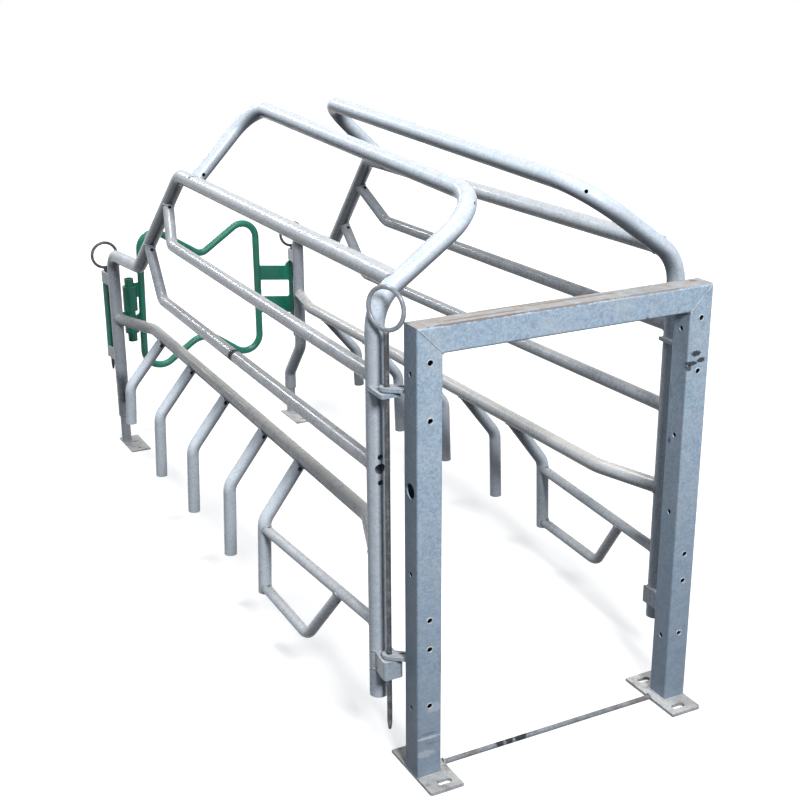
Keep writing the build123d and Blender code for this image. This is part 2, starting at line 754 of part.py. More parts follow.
save(portal_beam(), "portal_top_beam")
save(tie_rod(), "portal_tie_rod")
for side in (-1, 1):
    build_side(side)
save(ring_pin(-FRONT_PIN_HALF, FRONT_PIN_STATION, FRONT_PIN_FOOT, FRONT_RING, FRONT_RING_TURN), "front_left_pin")
save(plain_pin(1), "front_right_pin")
loop_solid = gate_loop(None).part
save(gate_loop(GATE_WALL), "gate_loop")
save(gate_knuckles(loop_solid), "gate_knuckles")
save(latch_plate(loop_solid), "gate_latch_plate")
save(hinge_tube(), "gate_hinge_tube")
save(hinge_bracket(), "gate_hinge_bracket")
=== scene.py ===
"""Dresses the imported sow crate: finishes, weld seams, handling marks, floor, light and camera."""

from __future__ import annotations

import logging
import math
from dataclasses import dataclass
from enum import Enum

import bpy
from mathutils import Matrix, Vector


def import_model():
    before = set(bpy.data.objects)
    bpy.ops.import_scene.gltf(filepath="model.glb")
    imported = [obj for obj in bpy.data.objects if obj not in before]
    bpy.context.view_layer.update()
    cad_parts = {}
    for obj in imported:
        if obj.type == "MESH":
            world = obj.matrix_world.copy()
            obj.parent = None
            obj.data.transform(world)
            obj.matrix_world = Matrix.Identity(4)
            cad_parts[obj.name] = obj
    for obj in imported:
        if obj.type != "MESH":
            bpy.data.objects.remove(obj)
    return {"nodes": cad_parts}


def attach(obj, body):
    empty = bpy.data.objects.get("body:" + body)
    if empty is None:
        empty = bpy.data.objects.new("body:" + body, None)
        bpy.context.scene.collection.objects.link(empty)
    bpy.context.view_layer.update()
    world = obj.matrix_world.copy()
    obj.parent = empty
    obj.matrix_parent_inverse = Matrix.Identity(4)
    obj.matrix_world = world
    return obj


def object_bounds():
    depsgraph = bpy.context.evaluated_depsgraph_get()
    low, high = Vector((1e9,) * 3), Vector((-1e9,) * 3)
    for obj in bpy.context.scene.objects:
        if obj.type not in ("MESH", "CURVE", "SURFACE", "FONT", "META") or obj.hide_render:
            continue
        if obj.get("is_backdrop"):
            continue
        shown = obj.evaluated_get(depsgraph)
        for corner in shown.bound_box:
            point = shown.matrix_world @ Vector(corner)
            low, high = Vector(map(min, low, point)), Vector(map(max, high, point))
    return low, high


Colour = tuple[float, float, float, float]
Triple = tuple[float, float, float]
Pair = tuple[float, float]
Material = bpy.types.Material
Node = bpy.types.Node
Socket = bpy.types.NodeSocket
Sockets = bpy.types.bpy_prop_collection
Tree = bpy.types.NodeTree

log = logging.getLogger("sow_crate")

MM = 0.001
WHITE = (1, 1, 1, 1)
UP = Vector((0, 0, 1))
FORWARD = Vector((0, -1, 0))
FACE_LIFT = 0.0006
RING_DROP = 0.004
RING_NECK = 0.0062
RING_BEAD = 0.0015
MID_STATION = 1.1655


def spot(x: float, station: float, height: float) -> Vector:
    """Point of the crate's frame, its station measured back from the portal's front face."""
    return Vector((x, station - MID_STATION, height))


def show(thing: bpy.types.Object) -> None:
    """Puts an object into the scene."""
    bpy.context.scene.collection.objects.link(thing)


class Side(Enum):
    """Side of the crate, seen from the portal."""

    LEFT = -1
    RIGHT = 1

    @property
    def label(self) -> str:
        """Lower-case word that starts the names of this side's pieces."""
        return self.name.lower()


class Body(Enum):
    """Moving bodies of the crate."""

    CRATE = "crate"
    GATE = "gate"
    FRONT_LEFT_PIN = "front_left_pin_body"
    REAR_LEFT_PIN = "rear_left_pin_body"
    REAR_RIGHT_PIN = "rear_right_pin_body"


class NodeGraph:
    """Small helper that adds and links the nodes of one node tree."""

    def __init__(self, tree: Tree) -> None:
        """Keeps the tree.

        Args:
            tree: Tree that the nodes are added to.
        """
        self.tree = tree

    @classmethod
    def material(cls, name: str) -> tuple[Material, NodeGraph, Sockets]:
        """Starts a material.

        Args:
            name: Name of the material.

        Returns:
            The material, its graph and the inputs of its shader.
        """
        made = bpy.data.materials.new(name)
        made.use_nodes = True
        return made, cls(made.node_tree), made.node_tree.nodes["Principled BSDF"].inputs

    def add(self, kind: str, **settings: object) -> Node:
        """Adds a node.

        Args:
            kind: Blender's identifier of the node type.
            settings: Properties set on the node by name.

        Returns:
            The new node.
        """
        node = self.tree.nodes.new(kind)
        for name, value in settings.items():
            setattr(node, name, value)
        return node

    def join(self, source: Socket, target: Socket) -> None:
        """Links two sockets."""
        self.tree.links.new(source, target)

    def after(self, source: Socket, kind: str, entry: int | str = 0, **settings: object) -> Node:
        """Adds a node behind a socket.

        Args:
            source: Socket that the node takes.
            kind: Blender's identifier of the node type.
            entry: Input that is linked.
            settings: Properties set on the node by name.

        Returns:
            The new node.
        """
        node = self.add(kind, **settings)
        self.join(source, node.inputs[entry])
        return node

    def feed(self, target: Socket, value: object) -> None:
        """Links a socket to another one, or sets its value.

        Args:
            target: Input that gets the value.
            value: Socket to link from, or a constant.
        """
        if isinstance(value, Socket):
            self.join(value, target)
        elif value is not None:
            target.default_value = value

    def put(self, inputs: Sockets, **values: object) -> None:
        """Links or sets inputs.

        Args:
            inputs: Inputs of a node.
            values: Sockets or constants by the input's name, with underscores for spaces.
        """
        for name, value in values.items():
            self.feed(inputs[name.replace("_", " ")], value)

    def math(self, operation: str, first: object, second: object = None, clamp: bool = False) -> Socket:
        """Adds a math node.

        Args:
            operation: Name of the operation.
            first: First operand, a socket or a number.
            second: Second operand, a socket or a number.
            clamp: Whether the result is kept between 0 and 1.

        Returns:
            The output socket.
        """
        node = self.add("ShaderNodeMath", operation=operation, use_clamp=clamp)
        self.feed(node.inputs[0], first)
        self.feed(node.inputs[1], second)
        return node.outputs[0]

    def scaled(self, value: object, share: object) -> Socket:
        """Multiplies a value by a share."""
        return self.math("MULTIPLY", value, share)

    def added(self, first: object, second: object) -> Socket:
        """Adds two values and keeps the sum between 0 and 1."""
        return self.math("ADD", first, second, clamp=True)

    def ramp(self, value: object, low: float, high: float, to_low: float = 0.0, to_high: float = 1.0) -> Socket:
        """Maps a range smoothly onto another.

        Args:
            value: Socket that is mapped.
            low: Value that gives to_low.
            high: Value that gives to_high.
            to_low: Lowest result.
            to_high: Highest result.

        Returns:
            The output socket.
        """
        node = self.add("ShaderNodeMapRange", interpolation_type="SMOOTHSTEP")
        self.put(node.inputs, Value=value, From_Min=low, From_Max=high, To_Min=to_low, To_Max=to_high)
        return node.outputs["Result"]

    def blend(self, amount: object, first: object, second: object) -> Socket:
        """Mixes two colours.

        Args:
            amount: Share of the second colour.
            first: First colour, a socket or four numbers.
            second: Second colour, a socket or four numbers.

        Returns:
            The colour output.
        """
        node = self.add("ShaderNodeMix", data_type="RGBA")
        self.feed(node.inputs["Factor"], amount)
        self.feed(node.inputs[6], first)
        self.feed(node.inputs[7], second)
        return node.outputs[2]

    def noise(self, place: object, scale: float, detail: float = 4.0, rough: float = 0.55) -> Socket:
        """Adds a noise texture.

        Args:
            place: Coordinates.
            scale: Pattern repeats per metre.
            detail: Number of octaves.
            rough: Strength of the fine octaves.

        Returns:
            The value output.
        """
        node = self.add("ShaderNodeTexNoise")
        self.put(node.inputs, Vector=place, Scale=scale, Detail=detail, Roughness=rough)
        return node.outputs["Fac"]

    def group(self, made: Tree, **values: object) -> Sockets:
        """Places a node group.

        Args:
            made: The group's tree.
            values: Inputs by name.

        Returns:
            The group's outputs.
        """
        node = self.add("ShaderNodeGroup", node_tree=made)
        self.put(node.inputs, **values)
        return node.outputs

    def place(self) -> Socket:
        """Object coordinates."""
        return self.add("ShaderNodeTexCoord").outputs["Object"]

    def axes(self, vector: Socket) -> Sockets:
        """Splits a vector into X, Y and Z."""
        return self.after(vector, "ShaderNodeSeparateXYZ").outputs

    def seen(self) -> Socket:
        """Whether the ray comes from the camera, a gloss or a clear surface."""
        path = self.add("ShaderNodeLightPath").outputs
        first = self.math("MAXIMUM", path["Is Camera Ray"], path["Is Glossy Ray"])
        return self.math("MAXIMUM", first, path["Is Transmission Ray"])

    def bump(self, height: Socket, strength: float, depth: float) -> Socket:
        """Turns a height pattern into a normal.

        Args:
            height: Height pattern.
            strength: Share of the bump.
            depth: Depth of the pattern in metres.

        Returns:
            The normal.
        """
        node = self.add("ShaderNodeBump")
        self.put(node.inputs, Height=height, Strength=strength, Distance=depth)
        return node.outputs["Normal"]


class SharedEffects:
    """Shader groups that more than one finish uses, each built once.

    Scales are repeats per metre.
    """

    warp_scale = 90.0
    warp_reach = 0.005
    grain_scale = 700.0
    cloud_scale = 55.0
    bloom_scale = 16.0
    fleck_scale = 210.0
    patch_scale = 26.0
    speck_scale = 150.0
    dust_scale = 4.0

    def __init__(self) -> None:
        """Builds the groups."""
        self.spangle = self._spangle()
        self.grime = self._grime()

    @staticmethod
    def _new(name: str, inputs: dict[str, float], outputs: list[str]) -> tuple[NodeGraph, Sockets, Sockets]:
        """Starts a shader group with a Place input and float sockets.

        Args:
            name: Name of the group.
            inputs: Float inputs and their defaults.
            outputs: Float outputs.

        Returns:
            The graph, the sockets of the group's inputs and those of its outputs.
        """
        tree = bpy.data.node_groups.new(name, "ShaderNodeTree")
        tree.interface.new_socket("Place", in_out="INPUT", socket_type="NodeSocketVector")
        for label, value in inputs.items():
            socket = tree.interface.new_socket(label, in_out="INPUT", socket_type="NodeSocketFloat")
            socket.default_value = value
        for label in outputs:
            tree.interface.new_socket(label, in_out="OUTPUT", socket_type="NodeSocketFloat")
        graph = NodeGraph(tree)
        return graph, graph.add("NodeGroupInput").outputs, graph.add("NodeGroupOutput").inputs

    def _spangle(self) -> Tree:
        """Builds the zinc crystal pattern.

        Returns:
            The group, with a tone for each crystal, its bloom and flecks, and a height.
        """
        graph, given, result = self._new("zinc_spangle", {"Scale": 240.0}, ["Tone", "Bloom", "Fleck", "Height"])
        warp = graph.after(given["Place"], "ShaderNodeTexNoise", "Vector")
        warp.inputs["Scale"].default_value = self.warp_scale
        shift = graph.after(warp.outputs["Color"], "ShaderNodeVectorMath", operation="SCALE")
        shift.inputs["Scale"].default_value = self.warp_reach
        moved = graph.after(given["Place"], "ShaderNodeVectorMath", operation="ADD")
        graph.join(shift.outputs[0], moved.inputs[1])
        cells = graph.after(moved.outputs[0], "ShaderNodeTexVoronoi", "Vector", feature="F1")
        graph.join(given["Scale"], cells.inputs["Scale"])
        tone = graph.after(cells.outputs["Color"], "ShaderNodeSeparateColor")
        grain = graph.noise(moved.outputs[0], self.grain_scale, 4.0, 0.7)
        cloud = graph.ramp(graph.noise(given["Place"], self.cloud_scale, 6.0, 0.7), 0.3, 0.7)
        bloom = graph.noise(given["Place"], self.bloom_scale, 5.0, 0.6)
        fleck = graph.noise(given["Place"], self.fleck_scale, 2.0, 0.5)
        mottle = graph.math("ADD", graph.scaled(tone.outputs[0], 0.45), graph.scaled(grain, 0.25))
        mottle = graph.math("ADD", mottle, graph.scaled(cloud, 0.3))
        graph.join(graph.ramp(mottle, 0.10, 0.90), result["Tone"])
        graph.join(graph.ramp(fleck, 0.66, 0.74), result["Fleck"])
        graph.join(graph.ramp(bloom, 0.40, 0.72), result["Bloom"])
        graph.join(graph.math("ADD", graph.scaled(cells.outputs["Distance"], 0.5), grain), result["Height"])
        return graph.tree

    def _grime(self) -> Tree:
        """Builds dirt that gathers low down and in patches.

        Returns:
            The group, with a mask of splashes and one of loose dust.
        """
        graph, given, result = self._new("yard_grime", {"Reach": 0.18, "Amount": 0.5}, ["Splash", "Dust"])
        height = graph.axes(given["Place"])[2]
        low = graph.math("SUBTRACT", 1.0, graph.math("DIVIDE", height, given["Reach"]), clamp=True)
        patches = graph.ramp(graph.noise(given["Place"], self.patch_scale, 6.0, 0.65), 0.48, 0.7)
        specks = graph.ramp(graph.noise(given["Place"], self.speck_scale, 3.0, 0.6), 0.6, 0.72)
        both = graph.scaled(low, graph.math("MAXIMUM", patches, graph.scaled(specks, 0.7)))
        dust = graph.ramp(graph.noise(given["Place"], self.dust_scale, 6.0, 0.6), 0.5, 0.8)
        for mask, name in ((both, "Splash"), (dust, "Dust")):
            graph.join(graph.math("MULTIPLY", mask, given["Amount"], clamp=True), result[name])
        return graph.tree


@dataclass(frozen=True)
class Mark:
    """Local smear of another colour on a finish."""

    centre: Triple
    reach: Triple
    colour: Colour
    scale: float
    strength: float
    raggedness: float = 1.6
    edge: Pair = (1.40, 1.62)

    def mask(self, graph: NodeGraph, place: Socket) -> Socket:
        """Builds the smear's mask.

        Args:
            graph: Graph of the material.
            place: Object coordinates.

        Returns:
            Mask between 0 and the smear's strength.
        """
        x, station, height = self.centre
        middle = (x, station - MID_STATION, height)
        mapping = graph.after(place, "ShaderNodeMapping", "Vector")
        shift = [-c / r for c, r in zip(middle, self.reach)]
        graph.put(mapping.inputs, Location=shift, Scale=[1 / r for r in self.reach])
        away = graph.after(mapping.outputs[0], "ShaderNodeVectorMath", operation="LENGTH")
        ragged = graph.scaled(graph.noise(place, self.scale, 5.0, 0.7), self.raggedness)
        return graph.ramp(graph.math("ADD", away.outputs["Value"], ragged), *self.edge, self.strength, 0.0)


SOOT = (0.07, 0.07, 0.08, 1)
INK = (0.025, 0.027, 0.032, 1)
MARKER = (0.27, 0.25, 0.50, 1)
BARE = (0.62, 0.67, 0.72, 1)
RUBBED = (0.16, 0.17, 0.20, 1)
BROWN = (0.13, 0.095, 0.075, 1)
POST_MARKS = (
    Mark((0.334, 0, 0.893), (0.018, 0.014, 0.0095), INK, 210.0, 0.90),
    Mark((0.350, 0, 0.876), (0.015, 0.014, 0.0085), INK, 210.0, 0.90),
    Mark((0.323, 0, 0.871), (0.022, 0.014, 0.0080), INK, 230.0, 0.90),
    Mark((0.318, 0, 0.861), (0.009, 0.014, 0.0110), INK, 190.0, 0.80),
    Mark((0.3125, 0.046, 0.674), (0.006, 0.006, 0.0110), SOOT, 190.0, 0.75),
    Mark((0.3125, 0.052, 0.797), (0.006, 0.0025, 0.0240), RUBBED, 120.0, 0.65),
    Mark((-0.342, 0, 0.116), (0.030, 0.008, 0.0035), RUBBED, 140.0, 0.75),
    Mark((-0.336, 0, 0.090), (0.022, 0.008, 0.0030), RUBBED, 140.0, 0.65),
    Mark((-0.3150, 0, 0.285), (0.004, 0.010, 0.0450), RUBBED, 90.0, 0.75),
    Mark((-0.346, 0, 0.106), (0.042, 0.008, 0.0050), BARE, 140.0, 0.55),
    Mark((-0.352, 0, 0.066), (0.030, 0.008, 0.0120), BARE, 120.0, 0.30),
    Mark((-0.330, 0, 0.180), (0.030, 0.008, 0.0160), BARE, 110.0, 0.28),
)
BEAM_MARKS = (
    Mark((0.072, 0, 1.016), (0.0045, 0.010, 0.0110), MARKER, 170.0, 0.55),
    Mark((0.098, 0, 1.008), (0.0050, 0.010, 0.0100), MARKER, 170.0, 0.45),
    Mark((0.193, 0, 0.994), (0.0060, 0.010, 0.0050), SOOT, 200.0, 0.6),
    Mark((0.345, 0.040, 1.050), (0.014, 0.012, 0.008), SOOT, 150.0, 0.55),
    Mark((-0.230, 0.003, 1.049), (0.150, 0.0055, 0.0050), BROWN, 70.0, 0.75),
    Mark((-0.020, 0.003, 1.049), (0.170, 0.0055, 0.0050), BROWN, 70.0, 0.65),
    Mark((0.210, 0.003, 1.049), (0.150, 0.0050, 0.0045), BROWN, 70.0, 0.55),
    Mark((-0.210, 0.024, 1.050), (0.160, 0.0060, 0.0040), BROWN, 60.0, 0.50),
    Mark((0.040, 0.040, 1.050), (0.180, 0.0070, 0.0040), BROWN, 60.0, 0.45),
    Mark((-0.120, 0.052, 1.050), (0.140, 0.0060, 0.0040), BROWN, 60.0, 0.45),
)
ROD_MARKS = (
    Mark((-0.141, 0.0315, 0.010), (0.016, 0.03, 0.014), INK, 160.0, 0.95),
    Mark((-0.116, 0.0315, 0.010), (0.014, 0.03, 0.014), INK, 160.0, 0.95),
    Mark((-0.084, 0.0315, 0.010), (0.022, 0.03, 0.014), INK, 160.0, 0.95),
)
HOOP_MARKS = (Mark((0.168, 0.330, 1.262), (0.030, 0.050, 0.022), (0.24, 0.26, 0.29, 1), 60.0, 0.5),)
RAIL_MARKS = (Mark((-0.386, 1.050, 0.696), (0.060, 0.0200, 0.056), (0.005, 0.005, 0.006, 1), 400.0, 1.0),)


@dataclass(frozen=True)
class GalvanisedFinish:
    """Hot dip zinc with fine crystals, dull bloom, settled dust with painted top light, painted shade on faces that
    look down, grime and a few smears.
    """

    name: str
    light: Colour
    dark: Colour
    spangle: float = 240.0
    metal: float = 0.04
    rough: Pair = (0.22, 0.32)
    gloss: float = 0.2
    grime: float = 0.35
    # dust: colour of faces that look up, settled dust together with painted top light.
    dust: Colour = (0.60, 0.575, 0.53, 1)
    dusty: float = 0.55
    bloom: Colour = (0.62, 0.65, 0.67, 1)
    bloom_amount: float = 0.25
    fleck_amount: float = 0.05
    # dull: colour the finish turns towards the floor, below the height dull_from.
    dull: Colour = (0.20, 0.26, 0.34, 1)
    dull_from: float = 0.0
    # Painted shade: under is a dark colour laid on faces that look down, stronger the lower they face; the dark flecks
    # also take it.
    under: Colour = (0.10, 0.12, 0.15, 1)
    under_shade_amount: float = 0.75
    bump: float = 0.10
    bump_depth: float = 0.0004
    # Range of the normal's height over which that painted shade fades out.
    under_shade_ramp: Pair = (-0.60, 0.35)
    loose_dust: Colour = (0.40, 0.39, 0.38, 1)
    splash: Colour = (0.15, 0.12, 0.10, 1)
    matt: float = 0.6
    marks: tuple[Mark, ...] = ()

    def build(self, effects: SharedEffects) -> Material:
        """Builds the material.

        Args:
            effects: Shared shader groups.

        Returns:
            The material.
        """
        material, graph, shader = NodeGraph.material(self.name)
        place = graph.place()
        crystals = graph.group(effects.spangle, Place=place, Scale=self.spangle)
        dirt = graph.group(effects.grime, Place=place, Amount=self.grime)
        masks = [mark.mask(graph, place) for mark in self.marks]
        graph.put(
            shader,
            Base_Color=self._colour(graph, place, crystals, dirt, masks),
            Metallic=self.metal,
            Specular_IOR_Level=self.gloss,
            Roughness=self._roughness(graph, crystals, dirt, masks),
            Normal=graph.bump(crystals["Height"], self.bump, self.bump_depth),
        )
        return material

    def _colour(self, graph: NodeGraph, place: Socket, crystals: Sockets, dirt: Sockets, masks: list[Socket]) -> Socket:
        """Builds the colour: crystals, bloom, darkening towards the floor, painted shade on faces that look down, dust
        with painted top light, grime and smears.

        Args:
            graph: Graph of the material.
            place: Object coordinates.
            crystals: Outputs of the spangle group.
            dirt: Outputs of the grime group.
            masks: Mask of each smear.

        Returns:
            The colour.
        """
        rise = graph.axes(graph.add("ShaderNodeNewGeometry").outputs["Normal"])[2]
        # Painted shade: faces that look down are darkened towards the under colour.
        painted_under_shade = graph.ramp(rise, *self.under_shade_ramp, 1.0, 0.0)
        colour = graph.blend(crystals["Tone"], self.dark, self.light)
        colour = graph.blend(graph.scaled(crystals["Bloom"], self.bloom_amount), colour, self.bloom)
        # Darker towards the floor.
        if self.dull_from:
            colour = graph.blend(self._low_mask(graph, place), colour, self.dull)
        colour = graph.blend(graph.scaled(painted_under_shade, self.under_shade_amount), colour, self.under)
        # Faces that look up: settled dust and painted top light.
        colour = graph.blend(self._top_dust_and_light_mask(graph, place, rise), colour, self.dust)
        colour = graph.blend(graph.scaled(crystals["Fleck"], self.fleck_amount), colour, self.under)
        colour = graph.blend(graph.scaled(dirt["Dust"], 0.35), colour, self.loose_dust)
        colour = graph.blend(dirt["Splash"], colour, self.splash)
        for mark, mask in zip(self.marks, masks):
            colour = graph.blend(mask, colour, mark.colour)
        return colour

    def _roughness(self, graph: NodeGraph, crystals: Sockets, dirt: Sockets, masks: list[Socket]) -> Socket:
        """Builds the roughness: each crystal has its own, and bloom, splashes and smears are more matt.

        Args:
            graph: Graph of the material.
            crystals: Outputs of the spangle group.
            dirt: Outputs of the grime group.
            masks: Mask of each smear.

        Returns:
            The roughness.
        """
        low, high = self.rough
        rough = graph.math("ADD", graph.scaled(crystals["Tone"], high - low), low)
        rough = graph.added(rough, graph.scaled(dirt["Splash"], 0.3))
        rough = graph.added(rough, graph.scaled(crystals["Bloom"], 0.1))
        if not masks:
            return rough
        smeared = masks[0]
        for mask in masks[1:]:
            smeared = graph.math("MAXIMUM", smeared, mask)
        return graph.added(rough, graph.scaled(smeared, self.matt))

    def _low_mask(self, graph: NodeGraph, place: Socket) -> Socket:
        """Mask that darkens the finish towards the floor."""
        patchy = graph.scaled(graph.noise(place, 24.0, 5.0, 0.7), 0.35)
        return graph.ramp(graph.math("SUBTRACT", graph.axes(place)[2], patchy), -0.35, self.dull_from, 0.75, 0.0)

    def _top_dust_and_light_mask(self, graph: NodeGraph, place: Socket, rise: Socket) -> Socket:
        """Mask of the colour of faces that look up: dust that settles there, and painted top light."""
        patchy = graph.ramp(graph.noise(place, 34.0, 5.0, 0.7), 0.25, 0.65, 0.45, 1.0)
        return graph.scaled(graph.scaled(graph.ramp(rise, 0.45, 0.98), patchy), self.dusty)


@dataclass(frozen=True)
class PaintFinish:
    """Brushed green paint with chips, thin places and dust."""

    name: str
    paint: Colour = (0.006, 0.145, 0.094, 1)
    faded: Colour = (0.016, 0.225, 0.150, 1)
    metal: Colour = (0.22, 0.24, 0.24, 1)
    dust: Colour = (0.16, 0.24, 0.20, 1)
    gloss: float = 0.4
    bump_depth: float = 0.0005

    def build(self, effects: SharedEffects) -> Material:
        """Builds the material.

        Args:
            effects: Shared shader groups.

        Returns:
            The material.
        """
        material, graph, shader = NodeGraph.material(self.name)
        place = graph.place()
        dirt = graph.group(effects.grime, Place=place, Amount=0.4, Reach=0.6)
        fade = graph.ramp(graph.noise(place, 14.0, 5.0, 0.6), 0.35, 0.75)
        chips = graph.ramp(graph.noise(place, 95.0, 4.0, 0.7), 0.74, 0.77)
        colour = graph.blend(fade, self.paint, self.faded)
        colour = graph.blend(chips, colour, self.metal)
        colour = graph.blend(graph.scaled(dirt["Dust"], 0.2), colour, self.dust)
        runs = graph.math("SUBTRACT", graph.noise(place, 260.0, 3.0, 0.5), graph.scaled(chips, 0.8))
        graph.put(
            shader,
            Base_Color=colour,
            Specular_IOR_Level=self.gloss,
            Metallic=graph.scaled(chips, 0.8),
            Roughness=graph.math("ADD", graph.scaled(fade, 0.18), 0.3),
            Normal=graph.bump(runs, 0.25, self.bump_depth),
        )
        return material


@dataclass(frozen=True)
class PinFinish:
    """Dark bare steel rod, rubbed in places and slightly rusted, with a ring of its own tone."""

    name: str
    steel: Colour = (0.045, 0.050, 0.058, 1)
    rubbed: Colour = (0.16, 0.17, 0.18, 1)
    ring: Colour = (0.31, 0.345, 0.39, 1)
    ring_from: float = 1.019
    rust: Colour = (0.11, 0.055, 0.03, 1)
    metal: float = 0.15
    gloss: float = 0.4
    bump_depth: float = 0.0005

    def build(self, effects: SharedEffects) -> Material:
        """Builds the material.

        Args:
            effects: Shared shader groups.

        Returns:
            The material.
        """
        material, graph, shader = NodeGraph.material(self.name)
        place = graph.place()
        splash = graph.group(effects.grime, Place=place, Amount=0.8, Reach=1.4)["Splash"]
        upper = graph.ramp(graph.axes(place)[2], self.ring_from - 0.004, self.ring_from + 0.002)
        rubbed = graph.ramp(graph.noise(place, 60.0, 5.0, 0.7), 0.42, 0.72)
        colour = graph.blend(rubbed, self.steel, self.rubbed)
        ring_share = graph.scaled(upper, graph.math("ADD", graph.scaled(rubbed, 0.4), 0.6))
        colour = graph.blend(ring_share, colour, self.ring)
        graph.put(
            shader,
            Base_Color=graph.blend(graph.scaled(splash, 0.5), colour, self.rust),
            Metallic=self.metal,
            Specular_IOR_Level=self.gloss,
            Roughness=graph.math("ADD", graph.scaled(splash, 0.3), 0.32),
            Normal=graph.bump(graph.noise(place, 420.0, 3.0, 0.6), 0.3, self.bump_depth),
        )
        return material


@dataclass(frozen=True)
class FloorFinish:
    """Plain pale matt floor that turns into the white background away from the crate."""

    name: str = "studio_floor"
    seen_colour: Colour = (0.62, 0.62, 0.62, 1)
    bounce_colour: Colour = (0.04, 0.04, 0.045, 1)
    own_light: float = 0.60
    fade: Pair = (1.3, 3.0)

    def build(self) -> Material:
        """Builds the material: white to the camera where nothing shades it.

        Returns:
            The material.
        """
        material, graph, shader = NodeGraph.material(self.name)
        seen = graph.seen()
        away = graph.after(graph.place(), "ShaderNodeVectorMath", operation="LENGTH")
        far = graph.ramp(away.outputs["Value"], *self.fade)
        glow = graph.math("ADD", self.own_light, graph.scaled(far, 1.0 - self.own_light))
        graph.put(
            shader,
            Base_Color=graph.blend(seen, self.bounce_colour, self.seen_colour),
            Emission_Color=WHITE,
            Emission_Strength=graph.scaled(seen, glow),
            Roughness=0.9,
            Specular_IOR_Level=0.0,
        )
        return material


@dataclass(frozen=True)
class PanelPlane:
    """Plane of a side panel, which draws in from the upright to the rear leg."""

    side: Side
    upright_station: float = 0.1535
    leg_station: float = 2.2916
    upright_half: float = 0.390
    leg_half: float = 0.3505

    def half(self, station: float) -> float:
        """Half width of the crate at a station, in metres."""
        along = (station - self.upright_station) / (self.leg_station - self.upright_station)
        return self.upright_half + (self.leg_half - self.upright_half) * along

    def point(self, outward: float, station: float, height: float) -> Vector:
        """Point of the panel.

        Args:
            outward: Offset from the panel's plane, away from the crate's middle.
            station: Distance behind the portal's front face.
            height: Height over the floor.

        Returns:
            The point in the crate's frame.
        """
        return spot(self.side.value * (self.half(station) + outward), station, height)


@dataclass
class Seam:
    """Path of one weld bead."""

    points: list[Vector]
    radius: float
    closed: bool = True

    @classmethod
    def straight(cls, start: Vector, end: Vector, radius: float) -> Seam:
        """Open bead along a straight run."""
        return cls(run(start, end), radius, closed=False)


@dataclass(frozen=True)
class Beads:
    """Weld beads that make one piece."""

    name: str
    seams: list[Seam]
    seed: int
    body: Body = Body.CRATE
    slot: str = "galvanised_steel"


@dataclass(frozen=True)
class Tube:
    """Straight round tube: a point and the direction of its axis, and its outer radius."""

    at: Vector
    way: Vector
    radius: float

    @classmethod
    def between(cls, start: Vector, end: Vector, radius: float) -> Tube:
        """Tube that runs from a point towards another."""
        return cls(start, end - start, radius)


def saddle(main: Tube, branch: Tube, steps: int = 40) -> list[Vector]:
    """Line where a round branch meets a round main tube.

    Args:
        main: Main tube.
        branch: Branch, from a point inside the main tube outwards.
        steps: Number of points round the branch.

    Returns:
        Points of the closed line.
    """
    main_way = main.way.normalized()
    way = branch.way.normalized()
    a = way - way.dot(main_way) * main_way
    points = []
    for start in ring(branch.at, way, branch.radius, steps):
        offset = start - main.at
        b = offset - offset.dot(main_way) * main_way
        qa = a.dot(a)
        qb = 2 * a.dot(b)
        qc = b.dot(b) - main.radius**2
        root = max(qb * qb - 4 * qa * qc, 0.0)
        points.append(start + (-qb + math.sqrt(root)) / (2 * qa) * way)
    return points


def ring(centre: Vector, axis: Vector, radius: float, steps: int = 36) -> list[Vector]:
    """Points of a circle.

    Args:
        centre: Middle of the circle.
        axis: Its normal.
        radius: Its radius.
        steps: Number of points.

    Returns:
        The points in order.
    """
    across = axis.orthogonal().normalized()
    up = axis.normalized().cross(across)
    turns = [2 * math.pi * step / steps for step in range(steps)]
    return [centre + radius * (math.cos(turn) * across + math.sin(turn) * up) for turn in turns]


def run(start: Vector, end: Vector, spacing: float = 0.01) -> list[Vector]:
    """Points along a straight run, about a spacing apart."""
    count = max(2, int((end - start).length / spacing))
    return [start.lerp(end, step / count) for step in range(count + 1)]


